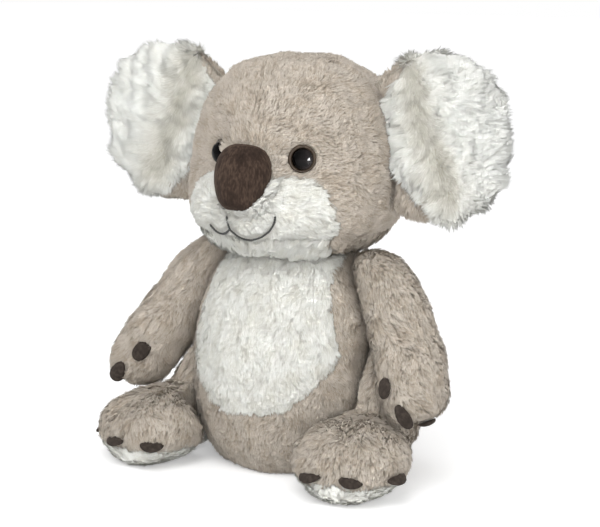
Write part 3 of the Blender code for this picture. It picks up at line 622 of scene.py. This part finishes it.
def keepClear(points, lengths):  # no pile through the eyes, nose or mouth, and shorter pile round them
    s = clear["eye"]
    for word, side in sides.items():
        axis = np.array(eyeAxis(side))
        offset = points - eyeFront(word)
        gap = np.linalg.norm(offset - (offset @ axis)[:, None] * axis, axis=1)
        kept = np.clip((gap - s["start"]) / s["fade"], s["least"], 1)
        lengths = np.where(gap < s["bare"], 0, lengths * kept)
    s, gap = clear["nose"], noseGap(points)
    least = np.where(points[:, 2] < s["low"], s["leastLow"], s["leastHigh"])
    lengths = np.where(gap < s["bare"], 0, lengths * np.clip(gap / s["fade"], least, 1))
    s, gap = clear["mouth"], mouthGap(points)
    return np.where(gap < s["bare"], 0, lengths * np.clip((gap - s["start"]) / s["fade"], s["least"], 1))


def scatter(s, rng):  # roots spread evenly over the panels' faces, and the normals there
    form, panels = forms[s["form"]], stuffing[s["form"]]["panels"]
    quads = form["quads"][np.isin(form["panelOf"], [panels.index(p) for p in s["panels"]])]
    a, b, c, d = (form["points"][quads[:, k]] for k in range(4))
    areas = np.linalg.norm(np.cross(c - a, d - b), axis=1) / 2
    count = int(areas.sum() / mm ** 2 * s["density"])
    chosen = quads[rng.choice(len(quads), count, p=areas / areas.sum())]
    u, v = rng.random((count, 1)), rng.random((count, 1))
    weights = ((1 - u) * (1 - v), u * (1 - v), u * v, (1 - u) * v)
    roots = sum(w * form["points"][chosen[:, k]] for k, w in enumerate(weights))
    return roots, unit(sum(w * form["normals"][chosen[:, k]] for k, w in enumerate(weights)))


# how a strand's length varies, and where it is cut shorter
growth = dict(
    shares=(0.7, 1.2), fringeShares=(0.6, 1.1), unevenSize=16 * mm, shortest=0.9 * mm, lowestRoot=0.6 * mm,
    besideReach=8 * mm, besideGap=1.5 * mm, besideFade=5 * mm, hollowShorter=0.4,
    rimInside=4 * mm, rimTurn=0.7, rimFade=0.28, rimLeast=0.25,
    soleTop=10 * mm, soleFade=8 * mm, soleLeast=0.35)


def strandLengths(s, roots, normals, rng):  # and each strand's share of the full fringe
    varied = 1 + s["uneven"] * smoothNoise(roots, growth["unevenSize"], s["seed"])
    lengths = s["length"] * mm * rng.uniform(*growth["shares"], len(roots)) * varied
    if s["form"] == "head":
        lengths = keepClear(roots, lengths)
    share = np.ones(len(roots))
    if s["where"]:
        share = s["where"](roots, normals)
        lengths = share * s["length"] * mm * rng.uniform(*growth["fringeShares"], len(roots))
    for other, neighbour in forms.items():  # shorter beside another stuffed body
        if other == s["form"]:
            continue
        low = neighbour["points"].min(axis=0) - growth["besideReach"]
        high = neighbour["points"].max(axis=0) + growth["besideReach"]
        near = ((roots > low) & (roots < high)).all(axis=1)
        gap = nearest(neighbour["tree"], roots[near], growth["besideReach"])
        lengths[near] *= np.clip((gap - growth["besideGap"]) / growth["besideFade"], s["hug"], 1)
    if s["material"] is longPile:
        lengths *= 1 - growth["hollowShorter"] * hollowShare(roots)
    if s["rimShort"]:  # short along the rim, so that the white front ends it
        rim = np.abs(roots[:, 0]) > innerEdgeAt(roots[:, 2]) + growth["rimInside"]
        turned = np.clip((normals[:, 1] - growth["rimTurn"]) / growth["rimFade"], growth["rimLeast"], 1)
        lengths = np.where(rim, lengths * turned, lengths)
    if s["form"].startswith("leg") and s["material"] is taupePile:  # the white sole shows under the foot
        lengths *= np.clip((roots[:, 2] - growth["soleTop"]) / growth["soleFade"], growth["soleLeast"], 1)
    return lengths, share


# rise and run: how the height and the way along grow from root to tip; the tips lie flatter than the roots
lying = dict(
    swirlSize=26 * mm, swirlSeed=50, swirlEach=0.5, ruffleSize=9 * mm, ruffleSeed=90, ruffle=0.8,
    liftLimits=(0.12, 0.9),
    rise=(1.7, -0.9), run=(0.75, 0.25), pullShares=(0.5, 1.1), pullGrows=1.4, lowest=0.3 * mm)
# pile that stands up beside the far eye
farBrow = dict(place=(-22, -40, 197), reach=6 * mm, lift=0.78, length=8.5 * mm)


def strandSpines(s, roots, normals, lengths, share, levels, rng):  # middle lines, and the way across each
    count = len(roots)
    nap = s["nap"](roots)
    nap = unit(nap - (nap * normals).sum(axis=1, keepdims=True) * normals)
    swirl = smoothNoise(roots, lying["swirlSize"], s["seed"] + lying["swirlSeed"])
    turn = s["swirl"] * (swirl + lying["swirlEach"] * rng.normal(size=count))
    across = np.cross(normals, nap)
    nap = nap * np.cos(turn)[:, None] + across * np.sin(turn)[:, None]
    across = np.cross(normals, nap)
    waves = smoothNoise(roots, lying["ruffleSize"], s["seed"] + lying["ruffleSeed"])
    ruffle = rng.normal(size=count) + lying["ruffle"] * waves
    lift = np.clip(s["lift"] * share + s["liftSpread"] * ruffle, *lying["liftLimits"])
    if s["form"] == "head" and not s["where"]:
        away = np.linalg.norm(roots - np.array(farBrow["place"]) * mm, axis=1)
        brow = np.exp(-(away / farBrow["reach"]) ** 2)
        lift = lift + (farBrow["lift"] - lift) * brow
        lengths = lengths + (farBrow["length"] - lengths) * brow
    rise = np.sin(lift * math.pi / 2)[:, None] * levels * (lying["rise"][0] + lying["rise"][1] * levels)
    run = np.cos(lift * math.pi / 2)[:, None] * levels * (lying["run"][0] + lying["run"][1] * levels)
    spine = lengths[:, None, None] * (rise[..., None] * normals[:, None] + run[..., None] * nap[:, None])
    spine = roots[:, None] + spine
    # tips drawn together into tufts
    leaders = rng.choice(count, max(1, int(count / (s["density"] * s["clump"] ** 2))), replace=False)
    tuft = KDTree(len(leaders))
    for k, i in enumerate(leaders):
        tuft.insert(Vector(spine[i, -1]), k)
    tuft.balance()
    mine = leaders[[tuft.find(Vector(p))[1] for p in spine[:, -1]]]
    pull = s["gather"] * rng.uniform(*lying["pullShares"], count)[:, None, None]
    pull = pull * (levels ** lying["pullGrows"])[None, :, None]
    spine = spine + (spine[mine] - spine) * pull
    spine[..., 2] = np.maximum(spine[..., 2], lying["lowest"])
    return spine, across


ribbon = dict(
    twist=0.5, widthShares=(0.7, 1.25), taperAt=(0, 0.4, 1), taper=(0.9, 1.0, 0.4), lowest=0.25 * mm)


def ribbons(s, spine, across, normals, levels, rng):  # tapered, and rounded by their normals
    count, rows = len(spine), s["rows"]
    twist = rng.uniform(-ribbon["twist"], ribbon["twist"], count)[:, None]
    wide = unit(across * np.cos(twist) + normals * np.sin(twist))
    facing = unit(np.cross(wide, spine[:, -1] - spine[:, 0]))
    outward = unit(normals + np.array(s["turned"]))
    flip = np.where((facing * outward).sum(axis=1, keepdims=True) < 0, -1, 1)
    wide, facing = wide * flip, facing * flip
    width = s["width"] * mm * rng.uniform(*ribbon["widthShares"], count)[:, None] / 2
    taper = np.interp(levels, ribbon["taperAt"], ribbon["taper"])
    shade = unit(s["smooth"] * outward + (1 - s["smooth"]) * facing)
    points = np.empty((count, 2 * rows + 1, 3))
    pointNormals = np.empty_like(points)
    for k in range(rows):
        for column, way in ((2 * k, -1), (2 * k + 1, 1)):
            points[:, column] = spine[:, k] + way * (wide * width * taper[k])
            pointNormals[:, column] = shade + way * (s["round"] * wide)
    points[:, -1] = spine[:, -1]
    pointNormals[:, -1] = shade
    points[..., 2] = np.maximum(points[..., 2], ribbon["lowest"])
    return points, unit(pointNormals)


# creaseShade and hollow are painted shade: how much darker the strands grow in the limbs' folds and down the
# ear's hollow
tones = dict(
    patchSize=12 * mm, patchSeed=30, each=0.9, creaseShade=0.22, creaseDepth=2 * mm,
    ear=0.87, earSpread=0.25, hollow=0.72)
colorMap = dict(columns=256, width=0.3, root=0.02, length=0.96)  # strands share its columns


def strandColumns(s, roots, rng):  # one colour column for each strand, darker ones gathered in patches
    patches = smoothNoise(roots, tones["patchSize"], s["seed"] + tones["patchSeed"])
    tone = s["tone"] + s["spread"] * (patches + tones["each"] * rng.normal(size=len(roots)))
    # painted shade: strands darker along the limbs' folds
    tone -= tones["creaseShade"] * creaseDepth(roots, s["form"]) / tones["creaseDepth"]
    if s["material"] is longPile:
        # painted shade: the ear's strands grow grey-beige down the hollow
        tone = tones["ear"] + tones["earSpread"] * (tone - s["tone"]) - tones["hollow"] * hollowShare(roots)
    return np.clip((tone * colorMap["columns"]).astype(int), 0, colorMap["columns"] - 1)


def strandMesh(name, s, points, pointNormals, columns, levels):
    (count, size), rows = points.shape[:2], s["rows"]
    corner, starts = [], []
    for k in range(rows - 1):
        starts.append(len(corner))
        corner += [2 * k, 2 * k + 1, 2 * k + 3, 2 * k + 2]
    starts.append(len(corner))
    corner += [2 * rows - 2, 2 * rows - 1, 2 * rows]
    corner, starts = np.array(corner), np.array(starts)
    mesh = bpy.data.meshes.new(name)
    mesh.vertices.add(count * size)
    mesh.vertices.foreach_set("co", points.ravel())
    mesh.loops.add(count * len(corner))
    loops = np.arange(count)[:, None] * size + corner
    mesh.loops.foreach_set("vertex_index", loops.ravel().astype(np.int32))
    mesh.polygons.add(count * rows)
    loopStarts = np.arange(count)[:, None] * len(corner) + starts
    mesh.polygons.foreach_set("loop_start", loopStarts.ravel().astype(np.int32))
    mesh.update(calc_edges=True)
    middle = (columns + 0.5) / colorMap["columns"]
    side = np.where(corner == 2 * rows, 0, np.where(corner % 2, 1, -1))
    shift = side * (colorMap["width"] / colorMap["columns"])
    height = colorMap["root"] + colorMap["length"] * np.repeat(levels, 2)[:size][corner]
    places = np.stack([middle[:, None] + shift, np.broadcast_to(height, (count, len(corner)))], axis=-1)
    mesh.uv_layers.new(name="OFBake").uv.foreach_set("vector", places.ravel())
    mesh.shade_smooth()
    mesh.normals_split_custom_set_from_vertices(pointNormals.reshape(-1, 3))
    mesh.materials.append(s["material"])
    return mesh


def growPile(name, s, seed):
    s = {**pileDefaults, **s, "seed": seed}
    rng = np.random.default_rng(seed)
    roots, normals = scatter(s, rng)
    lengths, share = strandLengths(s, roots, normals, rng)
    keep = (lengths > growth["shortest"]) & (roots[:, 2] > growth["lowestRoot"])
    roots, normals, lengths, share = roots[keep], normals[keep], lengths[keep], share[keep]
    levels = np.linspace(0, 1, s["rows"] + 1)
    spine, across = strandSpines(s, roots, normals, lengths, share, levels, rng)
    points, pointNormals = ribbons(s, spine, across, normals, levels, rng)
    columns = strandColumns(s, roots, rng)
    piece = newObject(name, strandMesh(name, s, points, pointNormals, columns, levels))
    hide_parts(*s["panels"])
    print("pile", name, len(roots), "strands")
    return piece


for seed, (name, s) in enumerate(pile.items(), 100):
    pile[name]["piece"] = growPile(name, s, seed)


# nose and claws

def finePiece(name, node, voxel, rounds, material):
    piece = newObject(name, meshFrom(name, *smoothForm([node], voxel, rounds)[:2]))
    piece.data.shade_smooth()
    piece.data.materials.append(material)
    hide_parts(node)
    return piece


# Brown velour, sheared short: painted shade where the pile stands to the eye, painted sheen where it lies
# over, in mottled patches.
def velourMaterial():
    material, tree, shader = newMaterial("shearedVelourBrown", {
        "Roughness": 0.85, "Specular IOR Level": 0.15, "Sheen Weight": 0.3, "Sheen Roughness": 0.4,
        "Sheen Tint": fromHex("#8C7B6F")})
    place = objectSpace(tree)
    layAndSheen = addNoise(tree, place, 60.0, 4.0)  # about 17 mm
    stretch = addNode(tree, "ShaderNodeMapping", {"Scale": (1.0, 1.0, 0.35)}, {"Vector": place})
    fine = addNoise(tree, stretch.outputs["Vector"], 750.0, 3.0)  # 1.3 mm across, longer up and down
    both = addNode(tree, "ShaderNodeMix", {"data_type": "FLOAT", "Factor": 0.45}, {"A": layAndSheen, "B": fine})
    # painted shade and sheen: the mottles go dark and pale in the colour
    addColors(tree, shader, both.outputs["Result"], [(0.3, "#1F1814"), (0.5, "#332822"), (0.7, "#54453B")])
    addBump(tree, shader, fine, 0.5, 0.3 * mm)
    return material


# Brushed suede cloth: matte and even, with faint scuffs.
def suedeMaterial():
    material, tree, shader = newMaterial("brushedSuedeDark", {
        "Roughness": 0.88, "Specular IOR Level": 0.25, "Sheen Weight": 0.3, "Sheen Roughness": 0.5,
        "Sheen Tint": fromHex("#8F857C")})
    scuff = addNoise(tree, objectSpace(tree), 420.0, 4.0)  # 2.4 mm
    addColors(tree, shader, scuff, [(0.3, "#29231F"), (0.55, "#37302B"), (0.8, "#48403A")])
    addBump(tree, shader, scuff, 0.35, 0.2 * mm)
    return material


velour = velourMaterial()
suede = suedeMaterial()
nose = finePiece("nosePad", "nose", voxel=0.9 * mm, rounds=14, material=velour)
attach(nose, "head")
for word in sides:
    for number in (1, 2, 3):
        for limb, body in (("hand", "arm"), ("foot", "leg")):
            claw = finePiece(f"{limb}Claw_{word}_{number}", f"{limb}_claw_{word}_{number}",
                             voxel=0.6 * mm, rounds=8, material=suede)
            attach(claw, f"{word}_{body}")
print("nose and claws made")


# eyes

def lathe(name, profile, steps, place, axis, material):
    turns = np.arange(steps) * 2 * math.pi / steps
    points, faces = [], []
    for radius, height in profile:
        points += [(radius * math.cos(t), radius * math.sin(t), height) for t in turns]
    for ring in range(len(profile) - 1):
        for k in range(steps):
            first, second = ring * steps, (ring + 1) * steps
            following = (k + 1) % steps
            faces.append((first + k, first + following, second + following, second + k))
    faces += [tuple(reversed(range(steps))), tuple(range(len(points) - steps, len(points)))]
    mesh = bpy.data.meshes.new(name)
    mesh.from_pydata(points, [], faces)
    mesh.shade_smooth()
    mesh.materials.append(material)
    piece = newObject(name, mesh)
    turned = Vector(axis).to_track_quat("Z", "Y").to_matrix().to_4x4()
    piece.matrix_world = Matrix.Translation(Vector(place)) @ turned
    return piece


def mouldedMaterial(name, specular, scale, detail, colors, roughness):  # plastic as the mould leaves it
    material, tree, shader = newMaterial(name, {"Specular IOR Level": specular, "IOR": 1.5})
    flow = addNoise(tree, objectSpace(tree), scale, detail)
    addColors(tree, shader, flow, [(0.3, colors[0]), (0.7, colors[1])])
    limits = {"To Min": roughness[0], "To Max": roughness[1]}
    rough = addNode(tree, "ShaderNodeMapRange", limits, {"Value": flow})
    tree.links.new(rough.outputs["Result"], shader.inputs["Roughness"])
    return material


# Moulded ABS, polished: a near-black dome with one clear highlight, waves of 6 mm.
domeBlack = mouldedMaterial("polishedABSBlack", 0.07, 160.0, 2.0, ("#020202", "#060505"), (0.05, 0.1))
# The eye's brown rim, moulded and left satin, flow marks of 3 mm.
rimBrown = mouldedMaterial("mouldedABSBrown", 0.5, 300.0, 3.0, ("#33291F", "#4A3D30"), (0.22, 0.34))
# Moulded washer plastic, as it leaves the mould: pale and waxy, flow marks of 4 mm.
washerPlastic = mouldedMaterial(
    "mouldedPolyethyleneNatural", 0.4, 260.0, 3.0, ("#CFCFCA", "#DDDDD8"), (0.38, 0.5))

# pole: the dome's profile stops this close to the axis; inside: the rim's play round the dome
eye = dict(
    radius=8.5 * mm, rim=2.2 * mm, rimHeight=1.6 * mm, dome=4.4 * mm, steps=56, domeRings=14, rimRings=8,
    pole=0.02 * mm, domeFoot=0.2 * mm, inside=0.05 * mm,
    rimInner=0.6 * mm, rimFoot=0.4 * mm, rimOver=0.1 * mm)
for word, side in sides.items():
    axis = eyeAxis(side)
    top = eye["rimHeight"] + eye["dome"]
    base = Vector(eyeFront(word)) - axis * top
    inner = eye["radius"] - eye["rim"]
    dome = [(eye["pole"], top)]
    for k in range(1, eye["domeRings"] + 1):
        turn = math.pi / 2 * (1 - k / eye["domeRings"])
        dome.append((inner * math.cos(turn), eye["rimHeight"] + eye["dome"] * math.sin(turn)))
    dome += [(inner, eye["domeFoot"]), (eye["pole"], eye["domeFoot"])]
    piece = lathe(f"eyeDome_{word}", dome[::-1], eye["steps"], base, axis, domeBlack)
    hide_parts(f"eye_{word}")
    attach(piece, "head")
    rim = [(inner + eye["inside"], eye["rimInner"])]
    for k in range(eye["rimRings"] + 1):
        turn = math.pi * k / eye["rimRings"]
        rim.append((eye["radius"] - eye["rim"] / 2 - eye["rim"] / 2 * math.cos(turn),
                    eye["rimFoot"] + (eye["rimHeight"] + eye["rimOver"]) * math.sin(turn)))
    rim += [(eye["radius"], -eye["rimFoot"]), (inner + eye["inside"], -eye["rimFoot"])]
    ring = lathe(f"eyeRim_{word}", rim, eye["steps"], base, axis, rimBrown)
    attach(ring, "head")
    cad[f"eye_washer_{word}"].data.materials.clear()
    cad[f"eye_washer_{word}"].data.materials.append(washerPlastic)
print("eyes made")


# mouth

# Polyester embroidery thread, two plies twisted: a soft satin line.
def threadMaterial():
    material, tree, shader = newMaterial("twistedPolyesterThread", {
        "Roughness": 0.55, "Specular IOR Level": 0.4, "Sheen Weight": 0.3})
    fibre = addNoise(tree, objectSpace(tree), 2400.0, 2.0)  # 0.4 mm
    addColors(tree, shader, fibre, [(0.3, "#2A2A29"), (0.7, "#454542")])
    return material


# arcs: shares of half the width and of the drop, from the middle to the corners
mouth = dict(
    side=-5 * mm, width=44 * mm, drop=7.6 * mm, height=154.8 * mm, philtrumTop=162 * mm,
    ply=0.42 * mm, apart=0.85, pitch=3.0 * mm, sidesRound=8, spacing=0.4 * mm,
    proud=2.5 * mm, before=-0.12, rounds=3,
    leftArc=((0.07, -0.19), (0.13, -0.42), (0.21, -0.62), (0.33, -0.74), (0.47, -0.76), (0.66, -0.64),
             (0.88, -0.39), (1.09, -0.01), (1.20, 0.36), (1.28, 0.76), (1.29, 1.10)),
    rightArc=((0.11, -0.16), (0.28, -0.38), (0.46, -0.53), (0.63, -0.51), (0.74, -0.36), (0.78, -0.10),
              (0.81, 0.10)))


def walkedAlong(path):
    return np.concatenate([[0], np.cumsum(np.linalg.norm(np.diff(path, axis=0), axis=1))])


def overMuzzle(outline, spacing):  # points at even spacing, laid over the muzzle
    outline = np.array(outline)
    steps = walkedAlong(outline)
    even = np.linspace(0, steps[-1], int(steps[-1] / spacing) + 2)
    xs, zs = np.interp(even, steps, outline[:, 0]), np.interp(even, steps, outline[:, 1])
    placed = []
    for x, z in zip(xs, zs):
        found = forms["head"]["tree"].ray_cast(Vector((x, mouth["before"], z)), Vector((0, 1, 0)))
        placed.append(np.array(found[0] + found[1] * mouth["proud"]))
    placed = np.array(placed)
    for _ in range(mouth["rounds"]):
        placed[1:-1] = (placed[:-2] + 2 * placed[1:-1] + placed[2:]) / 4
    return placed


def twistedThread(name, path, node, material):
    along = unit(np.gradient(path, axis=0))
    first = unit(np.cross(along, np.array((0, -1, 0))))
    second = np.cross(along, first)
    walked, count = walkedAlong(path), mouth["sidesRound"]
    points, faces = [], []
    for ply in (0, math.pi):
        angle = 2 * math.pi * walked / mouth["pitch"] + ply
        around = first * np.cos(angle)[:, None] + second * np.sin(angle)[:, None]
        centre = path + mouth["ply"] * mouth["apart"] * around
        start = len(points)
        for i, middle in enumerate(centre):
            for k in range(count):
                t = 2 * math.pi * k / count
                points.append(middle + mouth["ply"] * (first[i] * math.cos(t) + second[i] * math.sin(t)))
        for i in range(len(centre) - 1):
            for k in range(count):
                a, b = start + i * count, start + (i + 1) * count
                following = (k + 1) % count
                faces.append((a + k, b + k, b + following, a + following))
        faces.append(tuple(start + k for k in range(count)))
        faces.append(tuple(start + (len(centre) - 1) * count + k for k in reversed(range(count))))
    mesh = bpy.data.meshes.new(name)
    mesh.from_pydata([tuple(p) for p in points], [], faces)
    mesh.shade_smooth()
    mesh.materials.append(material)
    piece = newObject(name, mesh)
    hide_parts(node)
    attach(piece, "head")
    return piece


thread = threadMaterial()
arcs = [*((-s, h) for s, h in reversed(mouth["rightArc"])), (0, 0), *mouth["leftArc"]]
smile = [(mouth["side"] + mouth["width"] / 2 * s, mouth["height"] + mouth["drop"] * h) for s, h in arcs]
philtrum = [(mouth["side"], mouth["philtrumTop"]), (mouth["side"], mouth["height"])]
twistedThread("mouthSmileThread", overMuzzle(smile, mouth["spacing"]), "mouth_smile", thread)
twistedThread("mouthPhiltrumThread", overMuzzle(philtrum, mouth["spacing"]), "mouth_philtrum", thread)
print("mouth made")


# what moves with what

for name, form in forms.items():
    own = [form["piece"], *[s["piece"] for s in pile.values() if s["form"] == name]]
    for piece in own:
        if name.startswith("ear"):
            side = sides[name.split("_")[1]]
            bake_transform(piece)
        else:
            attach(piece, form["body"])


# floor, light and camera

paperGlow = 0.32


# A pale paper sweep: white to the camera, but it still takes the toy's shadow.
def floorMaterial():
    material, tree, shader = newMaterial("palePaperFloor", {"Roughness": 0.95, "Specular IOR Level": 0.1})
    grain = addNoise(tree, objectSpace(tree), 500.0, 3.0)  # 2 mm
    addColors(tree, shader, grain, [(0.3, "#ECECEC"), (0.7, "#F1F1F1")])
    path = addNode(tree, "ShaderNodeLightPath")
    seen = addNode(tree, "ShaderNodeMath", {"operation": "MAXIMUM"})
    tree.links.new(path.outputs["Is Camera Ray"], seen.inputs[0])
    tree.links.new(path.outputs["Is Glossy Ray"], seen.inputs[1])
    strength = addNode(tree, "ShaderNodeMath", {"operation": "MULTIPLY"})
    tree.links.new(seen.outputs[0], strength.inputs[0])
    strength.inputs[1].default_value = paperGlow
    white = {"Color": fromHex("#FFFFFF")}
    glow = addNode(tree, "ShaderNodeEmission", white, {"Strength": strength.outputs[0]})
    both = addNode(tree, "ShaderNodeAddShader")
    tree.links.new(shader.outputs["BSDF"], both.inputs[0])
    tree.links.new(glow.outputs["Emission"], both.inputs[1])
    out = [n for n in tree.nodes if n.type == "OUTPUT_MATERIAL"][0]
    tree.links.new(both.outputs[0], out.inputs["Surface"])
    return material


floorCorners = [(-6, -6, 0), (6, -6, 0), (6, 6, 0), (-6, 6, 0)]
floor = newObject("floor", meshFrom("floor", floorCorners, [(0, 1, 2, 3)]))
floor.data.materials.append(floorMaterial())

# the room: plain white behind the toy, a little dimmer as light on it
world = bpy.data.worlds.new("studio")
scene.world = world
world.use_nodes = True
tree = world.node_tree
tree.nodes.clear()
path = addNode(tree, "ShaderNodeLightPath")
dim = addNode(tree, "ShaderNodeBackground", {"Color": fromHex("#FFFFFF"), "Strength": 0.85})
bright = addNode(tree, "ShaderNodeBackground", {"Color": fromHex("#FFFFFF"), "Strength": 1.0})
chosen = addNode(tree, "ShaderNodeMixShader")
tree.links.new(path.outputs["Is Camera Ray"], chosen.inputs[0])
tree.links.new(dim.outputs[0], chosen.inputs[1])
tree.links.new(bright.outputs[0], chosen.inputs[2])
addNode(tree, "ShaderNodeOutputWorld", links={"Surface": chosen.outputs[0]})

lamps = {
    "keySoftbox": dict(azimuth=22, elevation=52, distance=1.6, size=1.1, power=13, target=(0, 0, 0.12)),
    "lowFill": dict(azimuth=38, elevation=4, distance=1.5, size=0.8, power=7.5, target=(0, 0, 0.05)),
    # lights the near eye's dome alone
    "catchLight": dict(azimuth=104, elevation=-17, distance=0.9, size=0.8, power=270,
                       target=(0.033, -0.042, 0.195), only="eyeDome_left"),
}


def fromDirection(azimuth, elevation):
    a, e = math.radians(azimuth), math.radians(elevation)
    return Vector((math.sin(a) * math.cos(e), -math.cos(a) * math.cos(e), math.sin(e)))


for name, s in lamps.items():
    target = Vector(s["target"])
    light = bpy.data.lights.new(name, "AREA")
    light.shape = "DISK"
    light.size = s["size"]
    light.energy = s["power"]
    lamp = newObject(name, light)
    lamp.location = target + fromDirection(s["azimuth"], s["elevation"]) * s["distance"]
    lamp.rotation_euler = (target - lamp.location).to_track_quat("-Z", "Y").to_euler()
    lamp.visible_glossy = "only" in s  # the softboxes themselves don't show in the eyes
    if "only" in s:
        lit = bpy.data.collections.new(name)
        lit.objects.link(bpy.data.objects[s["only"]])
        lamp.light_linking.receiver_collection = lit
        lamp.light_linking.blocker_collection = lit

# the photograph's view: the aim lies at aimPixel in a picture of this size
view = dict(azimuth=33, elevation=10, distance=1.15, aim=Vector((0, 0, 0.125)), focalPixels=1840,
            aimPixel=(295, 262), picture=(600, 527))
wide, high = view["picture"]
camera = bpy.data.cameras.new("photoView")
camera.sensor_fit = "HORIZONTAL"
camera.sensor_width = 36
camera.lens = view["focalPixels"] * camera.sensor_width / wide
camera.shift_x = (wide / 2 - view["aimPixel"][0]) / wide
camera.shift_y = (view["aimPixel"][1] - high / 2) / wide
camera.clip_start = 0.05
eyePoint = newObject("photoView", camera)
eyePoint.location = view["aim"] + fromDirection(view["azimuth"], view["elevation"]) * view["distance"]
eyePoint.rotation_euler = (view["aim"] - eyePoint.location).to_track_quat("-Z", "Y").to_euler()
scene.camera = eyePoint
scene.view_settings.view_transform = "Standard"
print("stage, lamps and camera set")
